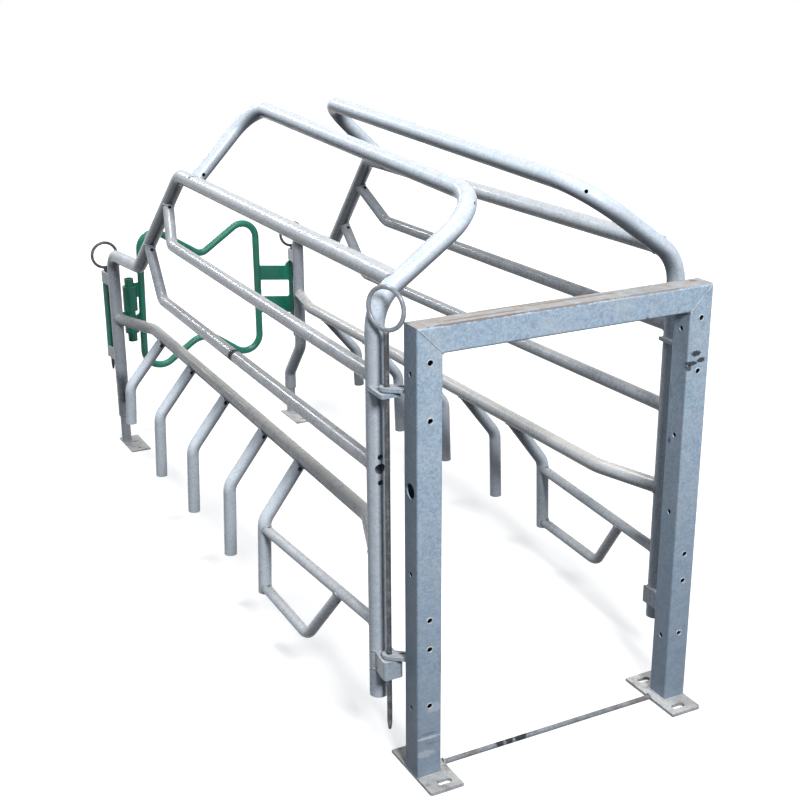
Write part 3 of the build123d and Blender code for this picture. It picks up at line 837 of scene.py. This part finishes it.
class WeldTree:
    """Geometry Nodes tree that turns seam lines into rippled weld beads."""

    size_name = "bead_radius"
    ripple_spacing = 0.0028
    ripple_depth = 0.22
    profile_sides = 7

    def __init__(self) -> None:
        """Builds the tree."""
        self.tree = bpy.data.node_groups.new("weld_bead", "GeometryNodeTree")
        face = self.tree.interface
        face.new_socket("Geometry", in_out="INPUT", socket_type="NodeSocketGeometry")
        self.spacing = face.new_socket("Ripple spacing", in_out="INPUT", socket_type="NodeSocketFloat")
        self.depth = face.new_socket("Ripple depth", in_out="INPUT", socket_type="NodeSocketFloat")
        self.seed = face.new_socket("Seed", in_out="INPUT", socket_type="NodeSocketInt")
        self.finish = face.new_socket("Finish", in_out="INPUT", socket_type="NodeSocketMaterial")
        face.new_socket("Geometry", in_out="OUTPUT", socket_type="NodeSocketGeometry")
        graph = NodeGraph(self.tree)
        given = graph.add("NodeGroupInput").outputs
        line = graph.after(given["Geometry"], "GeometryNodeMeshToCurve", "Mesh")
        even = graph.after(line.outputs["Curve"], "GeometryNodeResampleCurve", "Curve", mode="LENGTH")
        graph.join(given["Ripple spacing"], even.inputs["Length"])
        size = graph.add("GeometryNodeInputNamedAttribute", data_type="FLOAT")
        size.inputs["Name"].default_value = self.size_name
        chance = graph.add("FunctionNodeRandomValue", data_type="FLOAT")
        graph.put(chance.inputs, Seed=given["Seed"], Min=-1.0, Max=1.0)
        swing = graph.scaled(chance.outputs["Value"], given["Ripple depth"])
        radius = graph.scaled(size.outputs["Attribute"], graph.math("ADD", swing, 1.0))
        profile = graph.add("GeometryNodeCurvePrimitiveCircle", mode="RADIUS")
        graph.put(profile.inputs, Resolution=self.profile_sides, Radius=1.0)
        bead = graph.after(even.outputs["Curve"], "GeometryNodeCurveToMesh", "Curve")
        graph.put(bead.inputs, Profile_Curve=profile.outputs["Curve"], Scale=radius, Fill_Caps=True)
        smooth = graph.after(bead.outputs["Mesh"], "GeometryNodeSetShadeSmooth", "Geometry")
        real = graph.after(smooth.outputs["Geometry"], "GeometryNodeRealizeInstances", "Geometry")
        dressed = graph.after(real.outputs["Geometry"], "GeometryNodeSetMaterial", "Geometry")
        graph.join(given["Finish"], dressed.inputs["Material"])
        graph.after(dressed.outputs["Geometry"], "NodeGroupOutput", "Geometry")

    def bake(self, beads: Beads, finish: Material) -> None:
        """Turns seams into one plain mesh that rides on a body.

        Args:
            beads: Beads with the name and body of the piece; their slot is not read.
            finish: Material of the beads.
        """
        points: list[Vector] = []
        edges: list[tuple[int, int]] = []
        sizes: list[float] = []
        for seam in beads.seams:
            first = len(points)
            points += seam.points
            sizes += [seam.radius] * len(seam.points)
            last = first + len(seam.points) - 1
            edges += [(index, index + 1) for index in range(first, last)]
            if seam.closed:
                edges.append((last, first))
        lines = bpy.data.meshes.new(f"{beads.name}_lines")
        lines.from_pydata([tuple(point) for point in points], edges, [])
        attribute = lines.attributes.new(self.size_name, "FLOAT", "POINT")
        attribute.data.foreach_set("value", sizes)
        source = bpy.data.objects.new(f"{beads.name}_lines", lines)
        show(source)
        modifier = source.modifiers.new("weld_bead", "NODES")
        modifier.node_group = self.tree
        modifier[self.spacing.identifier] = self.ripple_spacing
        modifier[self.depth.identifier] = self.ripple_depth
        modifier[self.seed.identifier] = beads.seed
        modifier[self.finish.identifier] = finish
        ready = source.evaluated_get(bpy.context.evaluated_depsgraph_get())
        mesh = bpy.data.meshes.new_from_object(ready)
        mesh.name = beads.name
        bpy.data.objects.remove(source)
        piece = bpy.data.objects.new(beads.name, mesh)
        show(piece)
        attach(piece, beads.body.value)
        log.info("%s: %d seams, %d faces", beads.name, len(beads.seams), len(mesh.polygons))


@dataclass
class SidePanel:
    """Bent tubes of one side, with the places of their welds."""

    side: Side
    tube: float = 42.4 * MM
    bar: float = 33.7 * MM
    lower_bar: float = 38 * MM
    finger: float = 35 * MM
    kick: float = 26.9 * MM
    bead: float = 2.6 * MM
    hoop_turn: Triple = (0.0, 0.1535, 1.071)
    hoop_top: Triple = (-0.264, 0.1535, 1.257)
    hoop_rear: Triple = (-0.254, 1.491, 1.305)
    hoop_end: Triple = (-0.0503, 1.470, 1.101)
    rail_front: Triple = (-0.052, 0.1535, 1.109)
    rail_turn: Triple = (-0.050, 1.6015, 1.100)
    rail_low: Triple = (-0.007, 1.972, 0.7465)
    leg_top: Triple = (0.0, 2.2916, 0.7225)
    upper_bar: tuple[Triple, ...] = ((0.0, 0.1535, 0.910), (-0.004, 1.5765, 0.900), (-0.0375, 1.701, 1.002))
    middle_bar: tuple[Triple, ...] = ((0.0, 0.1535, 0.708), (-0.008, 1.724, 0.694), (-0.015, 1.863, 0.841))
    low_bar: tuple[Triple, ...] = (
        (0.0, 0.1535, 0.499),
        (-0.0645, 0.3325, 0.506),
        (-0.0655, 2.051, 0.504),
        (0.0, 2.2916, 0.492),
    )
    finger_stations: tuple[float, ...] = (1.936, 1.618, 1.302, 0.992, 0.734)
    finger_top: Pair = (-0.065, 0.5045)
    knee_height: float = 0.354
    knee_half: float = 0.4315
    knee_draw: float = 0.0066
    finger_splay: float = 0.007
    kick_heights: Pair = (0.326, 0.331)
    loop_start_height: float = 0.165
    loop_corners: tuple[Triple, ...] = ((0.431, 0.462, 0.155), (0.401, 0.326, 0.3275))
    drain: float = 9 * MM
    finger_drain: float = 26 * MM
    bar_drain: float = 28 * MM
    hoop_drain: float = 34 * MM
    rim: float = 1.2 * MM
    rim_gap: float = 0.3 * MM
    tube_ease: float = 0.995
    kick_ease: float = 0.99

    def head(self, station: float) -> Vector:
        """Top of a finger at a station."""
        return PanelPlane(self.side).point(self.finger_top[0], station, self.finger_top[1])

    def knee(self, station: float) -> Vector:
        """Knee of a finger at a station."""
        return spot(self.side.value * (self.knee_half - self.knee_draw * station), station, self.knee_height)

    def seams(self) -> list[Seam]:
        """Finds every weld of the panel's tubes.

        Returns:
            The weld paths.
        """
        at = PanelPlane(self.side).point
        tube, bar, lower = self.tube / 2, self.bar / 2, self.lower_bar / 2
        turn = at(*self.hoop_turn)
        upright = Tube(turn, UP, tube)
        rail = Tube.between(at(*self.rail_front), at(*self.rail_turn), tube)
        fall = Tube.between(at(*self.rail_turn), at(*self.rail_low), tube)
        joints = [
            (Tube.between(turn, at(*self.hoop_top), tube), Tube(rail.at, rail.way, tube * self.tube_ease)),
            (rail, Tube.between(at(*self.hoop_end), at(*self.hoop_rear), tube * self.tube_ease)),
        ]
        for corners in (self.upper_bar, self.middle_bar):
            front, bend, rear = (at(*corner) for corner in corners)
            joints += [(upright, Tube.between(front, bend, bar)), (fall, Tube.between(rear, bend, bar))]
        front, first, second, rear = (at(*corner) for corner in self.low_bar)
        joints.append((upright, Tube.between(front, first, lower)))
        joints.append((Tube(at(*self.leg_top), UP, tube), Tube.between(rear, second, lower)))
        middle = Tube.between(first, second, lower)
        for station in self.finger_stations:
            joints.append((middle, Tube.between(self.head(station), self.knee(station), self.finger / 2)))
        joints += self._kick_joints(upright)
        return [Seam(saddle(main, branch), self.bead) for main, branch in joints]

    def _kick_joints(self, upright: Tube) -> list[tuple[Tube, Tube]]:
        """Finds the joints of the kick bar and its loop.

        Args:
            upright: The front upright.

        Returns:
            Main tube and branch of each joint.
        """
        plane = PanelPlane(self.side)
        sign, finger, kick = self.side.value, self.finger / 2, self.kick / 2
        knee = self.knee(self.finger_stations[-1])
        foot_way = Vector((sign * self.finger_splay, 0, -0.2))
        front = plane.point(0, plane.upright_station, self.kick_heights[0])
        rear = Vector((knee.x, knee.y, self.kick_heights[1]))
        start = Vector((knee.x + sign * self.finger_splay, knee.y, self.loop_start_height))
        low, rise = (spot(sign * half, station, height) for half, station, height in self.loop_corners)
        return [
            (upright, Tube.between(front, rear, kick)),
            (Tube(knee, foot_way, finger), Tube.between(rear, front, kick)),
            (Tube(start, foot_way, finger), Tube.between(start, low, kick)),
            (Tube.between(front, rear, kick), Tube.between(rise, low, kick * self.kick_ease)),
        ]

    def drain_rims(self) -> list[Seam]:
        """Finds the rims of the drain holes beside the joints: dark rings of painted shade that make each hole read
        darker.

        Returns:
            The rims.
        """
        at = PanelPlane(self.side).point
        places = [
            (self.head(station), self.knee(station), self.finger, FORWARD, self.finger_drain)
            for station in self.finger_stations
        ]
        for corners in (self.upper_bar, self.middle_bar):
            places.append((at(*corners[2]), at(*corners[1]), self.bar, Vector((0, -1, 1)), self.bar_drain))
        places.append((at(*self.hoop_end), at(*self.hoop_rear), self.tube, FORWARD, self.hoop_drain))
        rims = []
        for joint, toward, size, facing, setback in places:
            way = (toward - joint).normalized()
            middle = joint + way * setback
            hole = Tube(middle, facing, self.drain / 2 + self.rim_gap)
            rims.append(Seam(saddle(Tube(middle, way, size / 2), hole, 20), self.rim))
        return rims

    def beads(self) -> Beads:
        """The panel's weld beads."""
        return Beads(f"{self.side.label}_panel_welds", self.seams(), 3 + self.side.value)

    def drain_beads(self) -> Beads:
        """The rims of the panel's drain holes, dark rings of painted shade."""
        return Beads(f"{self.side.label}_drain_rims", self.drain_rims(), 71 + self.side.value)


@dataclass
class Portal:
    """Front portal of box tube, with the welds of its corners, plates and lugs."""

    width: float = 0.745
    height: float = 1.050
    post: float = 0.060
    plate: float = 0.008
    plate_width: float = 0.083
    rod_station: float = 0.0315
    rod: float = 0.012
    bead: float = 2.8 * MM
    corner: float = 0.005
    corner_lift: float = 0.001
    foot_lift: float = 0.0015
    foot_corner: float = 0.004
    face_share: float = 0.55
    lip_share: float = 0.7
    foot_share: float = 0.85
    rod_rise: float = 0.0025
    rod_gap: float = 0.0005
    rod_bead: float = 1.8 * MM

    def seams(self) -> list[Seam]:
        """Finds the welds of the portal.

        Returns:
            The weld paths.
        """
        found: list[Seam] = []
        for side in Side:
            sign = side.value
            outer = sign * self.width / 2
            inner = outer - sign * self.post
            under = self.height - self.post
            for station in (FACE_LIFT, self.post - FACE_LIFT):
                top = spot(outer - sign * self.corner, station, self.height - self.corner)
                low = spot(inner - sign * self.corner_lift, station, under - self.corner_lift)
                found.append(Seam.straight(top, low, self.bead * self.face_share))
            lip = spot(inner - sign * FACE_LIFT, self.corner, under - FACE_LIFT)
            lip_end = lip + Vector((0, self.post - 2 * self.corner, 0))
            found.append(Seam.straight(lip, lip_end, self.bead * self.lip_share))
            found.append(Seam(self._foot_line(outer, inner, sign), self.bead * self.foot_share, closed=False))
            rod = spot(outer - sign * self.plate_width, self.rod_station, self.rod / 2 + self.rod_rise)
            found.append(Seam(ring(rod, Vector((1, 0, 0)), self.rod / 2 + self.rod_gap, 20), self.rod_bead))
        return found

    def _foot_line(self, outer: float, inner: float, sign: int) -> list[Vector]:
        """Line round three sides of a post's foot.

        Args:
            outer: Outer face of the post.
            inner: Inner face of the post.
            sign: Side of the crate.

        Returns:
            The points in order.
        """
        across = (outer - sign * self.foot_corner, inner - sign * self.foot_lift)
        along = (-self.foot_lift, self.post + self.foot_lift)
        foot = [spot(across[x], along[y], self.plate) for x, y in ((0, 0), (1, 0), (1, 1), (0, 1))]
        line: list[Vector] = []
        for first, second in zip(foot, foot[1:]):
            line += run(first, second)[:-1]
        return [*line, foot[-1]]

    def beads(self) -> Beads:
        """The portal's weld beads."""
        return Beads("portal_welds", self.seams(), 11)


def arc(centre: Vector, radius: float, start: float, end: float, toward: float, steps: int = 24) -> list[Vector]:
    """Points of a level arc.

    Args:
        centre: Middle of the arc.
        radius: Its radius.
        start: First angle in degrees, from the toward direction.
        end: Last angle in degrees.
        toward: Direction of zero degrees, in degrees from the X axis.
        steps: Number of steps.

    Returns:
        The points in order.
    """
    points = []
    for step in range(steps + 1):
        turn = math.radians(toward + start + (end - start) * step / steps)
        points.append(centre + radius * Vector((math.cos(turn), math.sin(turn), 0)))
    return points


@dataclass
class PinLugs:
    """Lugs that carry the front pins and the rear pins, with the places of their welds."""

    side: Side
    post_outer: float = 0.3675
    root: float = 0.044
    post_rear: float = 0.060
    post_lug: float = 0.008
    gap: float = 0.003
    upright: Pair = (0.390, 0.1535)
    leg: Pair = (0.3505, 2.2916)
    tube: float = 42.4 * MM
    upper_tops: Pair = (0.893, 0.884)
    lower_tops: Pair = (0.268, 0.232)
    plate: float = 0.009
    strap: float = 0.045
    leg_tops: Pair = (0.376, 0.650)
    leg_strap: float = 0.040
    leg_half: float = 0.0155
    bead: float = 2.0 * MM
    lift: float = 0.0002
    inset: float = 0.003
    wrap: Pair = (68, -122)
    leg_turn: float = 6

    def seams(self) -> list[Seam]:
        """Finds the welds of the lugs.

        Returns:
            The weld paths.
        """
        sign = self.side.value
        which = 0 if self.side is Side.LEFT else 1
        around = self.tube / 2 + self.lift
        found: list[Seam] = []
        for top, below in ((self.upper_tops[which], self.plate), (self.lower_tops[which], self.strap)):
            for level in (top + self.gap - 2 * self.lift, top + self.gap + self.post_lug + 2 * self.lift):
                first = spot(sign * (self.post_outer - self.inset), self.post_rear + FACE_LIFT, level)
                second = first - Vector((sign * (self.root - 2 * self.inset), 0, 0))
                found.append(Seam.straight(first, second, self.bead))
            start, end = (sign * turn for turn in self.wrap)
            for level in (top + self.lift, top - below - self.lift):
                centre = spot(sign * self.upright[0], self.upright[1], level)
                found.append(Seam(arc(centre, around, start, end, -90), self.bead, closed=False))
        edge = math.degrees(math.asin(self.leg_half / (self.tube / 2)))
        for top in self.leg_tops:
            for level in (top + self.lift, top - self.leg_strap - self.lift):
                centre = spot(sign * self.leg[0], self.leg[1], level)
                line = arc(centre, around, -edge, edge, 90 - sign * self.leg_turn)
                found.append(Seam(line, self.bead, closed=False))
        return found

    def beads(self) -> Beads:
        """The lugs' weld beads."""
        return Beads(f"{self.side.label}_lug_welds", self.seams(), 21 + self.side.value)


@dataclass
class RearFoot:
    """Foot of a rear leg: the welds of its tube and plate."""

    side: Side
    inward: float = 0.0175
    station: float = 2.360
    leg_end: float = 0.105
    leg_tube: float = 42.4 * MM
    foot_tube: float = 33.7 * MM
    plate: float = 0.004
    bead: float = 2.4 * MM
    lift: float = 0.0008
    sunk: float = 0.001
    leg_share: float = 0.9

    def beads(self) -> Beads:
        """The foot's weld beads."""
        middle = PanelPlane(self.side).point(-self.inward, self.station, 0)
        low, high = middle + UP * (self.plate + self.lift), middle + UP * (self.leg_end - self.sunk)
        seams = [
            Seam(ring(low, UP, self.foot_tube / 2 + self.lift), self.bead),
            Seam(ring(high, UP, (self.foot_tube + self.leg_tube) / 4), self.bead * self.leg_share),
        ]
        return Beads(f"{self.side.label}_foot_welds", seams, 31 + self.side.value)


@dataclass
class HoleRims:
    """Rims of thicker zinc round the bolt holes in the posts' front faces."""

    post_x: float = 0.3425
    heights: tuple[float, ...] = (0.186, 0.326, 0.396, 0.851, 0.975)
    hole: float = 0.013
    bead: float = 1.1 * MM

    def beads(self) -> Beads:
        """The rims of both posts."""
        centres = [spot(side.value * self.post_x, 0, height) for side in Side for height in self.heights]
        seams = [Seam(ring(centre, FORWARD, self.hole / 2 + FACE_LIFT, 24), self.bead) for centre in centres]
        return Beads("front_hole_rims", seams, 41)


@dataclass
class Gate:
    """Rear gate, with the welds of its latch plate, sleeve and hinge arms."""

    station: float = 2.3665
    loop_right: float = 0.2135
    loop_tube: float = 0.025
    sleeve: Pair = (0.3585, 0.029)
    plate_heights: Pair = (0.402, 0.584)
    slope: float = 0.118
    hinge: Pair = (-0.278, 0.050)
    knuckle_welds: tuple[Pair, ...] = ((0.540, 0.593), (0.442, 0.476))
    loop_welds: tuple[Triple, ...] = ((-0.2457, 0.540, 0.593), (-0.2480, 0.447, 0.482))
    plate: float = 0.006
    bead: float = 1.8 * MM
    sunk: float = 0.0002
    inset: float = 0.002

    def seams(self) -> list[Seam]:
        """Finds the welds of the gate.

        Returns:
            The weld paths.
        """
        found: list[Seam] = []
        knuckle = self.hinge[0] + self.hinge[1] / 2 - self.sunk
        arms = (*((knuckle, *heights) for heights in self.knuckle_welds), *self.loop_welds)
        loop_edge = self.loop_right + self.loop_tube / 2 - self.sunk
        sleeve_edge = self.sleeve[0] - self.sleeve[1] / 2 + 2 * self.sunk
        for face in (-1, 1):
            station = self.station + face * (self.plate / 2 + FACE_LIFT)
            for x in (loop_edge, sleeve_edge):
                fall = self.slope * (self.sleeve[0] - x)
                low, high = (height + fall for height in self.plate_heights)
                found.append(Seam.straight(spot(x, station, low), spot(x, station, high), self.bead))
            for x, low, high in arms:
                start, end = spot(x, station, low + self.inset), spot(x, station, high - self.inset)
                found.append(Seam.straight(start, end, self.bead))
        return found

    def beads(self) -> Beads:
        """The gate's weld beads."""
        return Beads("gate_welds", self.seams(), 51, Body.GATE, "green_paint")


class RingPin(Enum):
    """Loose pins by node, with the body and the place of the ring's neck."""

    FRONT_LEFT = ("front_left_pin", Body.FRONT_LEFT_PIN, (-0.390, 0.100, 1.0245))
    REAR_LEFT = ("rear_left_pin", Body.REAR_LEFT_PIN, (-0.3585, 2.3665, 0.6625))
    REAR_RIGHT = ("rear_right_pin", Body.REAR_RIGHT_PIN, (0.3585, 2.3665, 0.6625))

    def beads(self) -> Beads:
        """Bead where the ring is welded to the rod."""
        name, body, neck = self.value
        seam = Seam(ring(spot(*neck) - UP * RING_DROP, UP, RING_NECK, 18), RING_BEAD)
        return Beads(f"{name}_ring_weld", [seam], 61, body, "dark_steel")


@dataclass(frozen=True)
class Lamp:
    """Square soft lamp."""

    name: str
    place: Triple
    aim: Triple
    size: float
    power: float

    def build(self) -> None:
        """Adds the lamp, turned to its aim."""
        data = bpy.data.lights.new(self.name, "AREA")
        data.shape = "SQUARE"
        data.size = self.size
        data.energy = self.power
        lamp = bpy.data.objects.new(self.name, data)
        way = Vector(self.aim) - Vector(self.place)
        lamp.matrix_world = Matrix.Translation(self.place) @ way.to_track_quat("-Z", "Y").to_matrix().to_4x4()
        show(lamp)


@dataclass(frozen=True)
class Studio:
    """Floor, light and the camera at the photograph's angle."""

    camera_place: Triple = (-1.5651, -2.2262 - MID_STATION, 1.7967)
    azimuth: float = -27.40
    elevation: float = 19.50
    roll: float = 0.35
    lens: float = 60.2
    sensor: float = 36.0
    floor_half: float = 9.0
    horizon_light: Colour = (0.05, 0.056, 0.065, 1)
    zenith_light: Colour = (0.25, 0.28, 0.32, 1)
    lamps: tuple[Lamp, ...] = (
        Lamp("key_lamp", (-0.8, -5.2, 4.0), (0, -0.3, 0.6), 1.2, 350),
        Lamp("top_lamp", (-0.6, 0.5, 4.8), (0, 0.2, 0.5), 1.0, 130),
        Lamp("rear_lamp", (-1.2, 6.2, 3.9), (0, 0.2, 0.8), 0.8, 85),
    )

    def build(self) -> None:
        """Builds the floor, the lamps, the world and the camera."""
        self._floor()
        self._camera()
        for lamp in self.lamps:
            lamp.build()
        self._world()

    def _floor(self) -> None:
        """Builds a large plain floor under the crate."""
        reach = self.floor_half
        mesh = bpy.data.meshes.new("studio_floor")
        corners = [(-reach, -reach, 0), (reach, -reach, 0), (reach, reach, 0), (-reach, reach, 0)]
        mesh.from_pydata(corners, [], [(0, 1, 2, 3)])
        mesh.materials.append(FloorFinish().build())
        floor = bpy.data.objects.new("studio_floor", mesh)
        show(floor)
        floor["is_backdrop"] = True

    def _camera(self) -> None:
        """Places the camera as the photograph was taken."""
        data = bpy.data.cameras.new("photo_camera")
        data.lens = self.lens
        data.sensor_width = self.sensor
        data.sensor_fit = "HORIZONTAL"
        data.clip_end = 60
        camera = bpy.data.objects.new("photo_camera", data)
        turn = Matrix.Rotation(math.radians(self.azimuth), 4, "Z")
        tilt = Matrix.Rotation(math.radians(90 - self.elevation), 4, "X")
        roll = Matrix.Rotation(math.radians(-self.roll), 4, "Z")
        camera.matrix_world = Matrix.Translation(self.camera_place) @ turn @ tilt @ roll
        show(camera)
        bpy.context.scene.camera = camera

    def _world(self) -> None:
        """Builds a white background over a soft light that comes mostly from above."""
        world = bpy.data.worlds.new("studio_world")
        world.use_nodes = True
        graph = NodeGraph(world.node_tree)
        background = world.node_tree.nodes["Background"]
        rise = graph.axes(graph.add("ShaderNodeTexCoord").outputs["Generated"])[2]
        soft = graph.blend(graph.ramp(rise, 0.05, 0.95), self.horizon_light, self.zenith_light)
        graph.join(graph.blend(graph.seen(), soft, WHITE), background.inputs["Color"])
        background.inputs["Strength"].default_value = 1.0
        bpy.context.scene.world = world


class Wardrobe:
    """All finishes of the crate and the nodes that wear them."""

    def __init__(self, effects: SharedEffects) -> None:
        """Builds the materials.

        Args:
            effects: Shared shader groups.
        """
        self.effects = effects
        self._dress_tubes()
        self._dress_portal()
        self.lug = self._zinc("galvanised_lug", (0.40, 0.48, 0.565), (0.25, 0.315, 0.385), grime=0.5, gloss=0.25)
        self.plate = self._zinc("galvanised_plate", (0.50, 0.53, 0.55), (0.34, 0.36, 0.38), grime=0.7)
        weld = {"spangle": 420.0, "bump": 0.4, "dusty": 0.3}
        self.weld = self._zinc("galvanised_weld", (0.46, 0.49, 0.52), (0.26, 0.28, 0.30), **weld)
        self.rim = self._zinc("bright_zinc_rim", BARE[:3], (0.52, 0.58, 0.64), dusty=0.2)
        # Painted shade: a near-black finish for the drain rims, which darkens the drain holes.
        hole_shade_looks = {"metal": 0.0, "dusty": 0.0, "bloom_amount": 0.0}
        self.drain_hole_shade = self._zinc("drain_rim_painted_shade", SOOT[:3], (0.02, 0.02, 0.025), **hole_shade_looks)
        self.green = PaintFinish("green_gate_paint").build(effects)
        self.pin = PinFinish("dark_pin_steel").build(effects)

    def _zinc(self, name: str, light: Triple, dark: Triple, **looks: object) -> Material:
        """Builds a galvanised finish.

        Args:
            name: Name of the material.
            light: Tone of the lightest crystals.
            dark: Tone of the darkest crystals.
            looks: Other values of the finish.

        Returns:
            The material.
        """
        return GalvanisedFinish(name, (*light, 1), (*dark, 1), **looks).build(self.effects)

    def _dress_tubes(self) -> None:
        """Builds the finishes of the round tubes. The finger and hoop finishes are lighter copies of the tube finish,
        painted light; the rail finish is a darker copy, painted shade.
        """
        smooth = {
            "grime": 0.10,
            "dusty": 0.45,
            # Painted shade: faces that look down take a dark colour, almost fully.
            "under_shade_amount": 0.95,
            "dust": (0.42, 0.40, 0.37, 1),
            "under": (0.07, 0.085, 0.105, 1),
        }
        # The low bars' tops take a lighter, warmer colour: dust and painted top light.
        warm = smooth | {"dust": (0.58, 0.56, 0.51, 1), "dusty": 0.9, "gloss": 0.25}
        rail = smooth | {"gloss": 0.42, "marks": RAIL_MARKS}
        hoop = smooth | {"gloss": 0.12, "marks": HOOP_MARKS}
        self.tube = self._zinc("galvanised_tube", (0.50, 0.545, 0.595), (0.39, 0.43, 0.48), gloss=0.32, **smooth)
        # Painted shade: a darker copy of the tube finish for the upper and middle bars.
        self.rail = self._zinc("galvanised_rail_painted_shade", (0.31, 0.34, 0.38), (0.23, 0.26, 0.30), **rail)
        self.low_bar = self._zinc("galvanised_low_bar", (0.46, 0.485, 0.505), (0.36, 0.385, 0.415), **warm)
        # Painted light: a lighter, bluer copy of the tube finish for the fingers.
        self.finger = self._zinc("galvanised_finger_painted_light", (0.73, 0.80, 0.87), (0.59, 0.665, 0.745), gloss=0.15, **smooth)
        # Painted light: a lighter, bluer copy of the tube finish for the hoops.
        self.hoop = self._zinc("galvanised_hoop_painted_light", (0.63, 0.70, 0.78), (0.49, 0.56, 0.64), **hoop)

    def _dress_portal(self) -> None:
        """Builds the finishes of the portal and its tie rod."""
        blue, steel = (0.455, 0.58, 0.71), (0.27, 0.365, 0.475)
        flat = {"metal": 0.0, "rough": (0.34, 0.50), "gloss": 0.12, "fleck_amount": 0.15}
        post = flat | {"dull_from": 0.75, "dusty": 0.7, "marks": POST_MARKS}
        # The beam's top takes a warm beige colour: dust and painted top light.
        beam = flat | {"dust": (0.31, 0.275, 0.245, 1), "dusty": 1.0, "marks": BEAM_MARKS}
        rod = {"grime": 0.8, "dusty": 0.0, "marks": ROD_MARKS}
        self.post = self._zinc("galvanised_post", blue, steel, **post)
        self.beam = self._zinc("galvanised_beam", blue, steel, **beam)
        self.rod = self._zinc("galvanised_rod", (0.25, 0.275, 0.305), (0.15, 0.165, 0.19), **rod)

    def dress(self, nodes: dict[str, bpy.types.Object]) -> None:
        """Gives every carried-over node its finish.

        Args:
            nodes: CAD nodes by name.
        """
        for name, node in nodes.items():
            finish = self._finish_for(name)
            if not node.material_slots:
                node.data.materials.append(finish)
            for slot in node.material_slots:
                slot.material = finish

    def _finish_for(self, name: str) -> Material:
        """Finish of a node by its name."""
        endings = {
            "_pin": self.pin,
            "_post": self.post,
            "_beam": self.beam,
            "_rod": self.rod,
            "_hoop": self.hoop,
            "_plate": self.plate,
            "_lugs": self.lug,
            "_lower_bar": self.low_bar,
            "_upper_bar": self.rail,
            "_middle_bar": self.rail,
        }
        if name.startswith("gate_"):
            return self.green
        if "finger" in name:
            return self.finger
        for ending, finish in endings.items():
            if name.endswith(ending):
                return finish
        return self.tube


def written_box(stage: str, found: dict[str, list[list[float]]]) -> None:
    """Measures the shown object under a name, as plain lists."""
    found[stage] = [list(corner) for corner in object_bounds()]


def main() -> None:
    """Loads the frame, builds every class in order and reports each piece."""
    logging.basicConfig(level=logging.INFO, format="%(name)s: %(message)s")
    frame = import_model()
    sizes: dict[str, list[list[float]]] = {}
    written_box("cad", sizes)
    scene = bpy.context.scene
    scene.view_settings.view_transform = "Standard"
    wardrobe = Wardrobe(SharedEffects())
    wardrobe.dress(frame["nodes"])
    welds = WeldTree()
    for side in Side:
        panel = SidePanel(side)
        welds.bake(panel.beads(), wardrobe.weld)
        # The drain rims are painted shade round the drain holes.
        welds.bake(panel.drain_beads(), wardrobe.drain_hole_shade)
        welds.bake(PinLugs(side).beads(), wardrobe.weld)
        welds.bake(RearFoot(side).beads(), wardrobe.weld)
    welds.bake(Portal().beads(), wardrobe.weld)
    welds.bake(HoleRims().beads(), wardrobe.rim)
    welds.bake(Gate().beads(), wardrobe.green)
    for pin in RingPin:
        welds.bake(pin.beads(), wardrobe.pin)
    Studio().build()
    written_box("dressed", sizes)


if __name__ == "__main__":
    main()
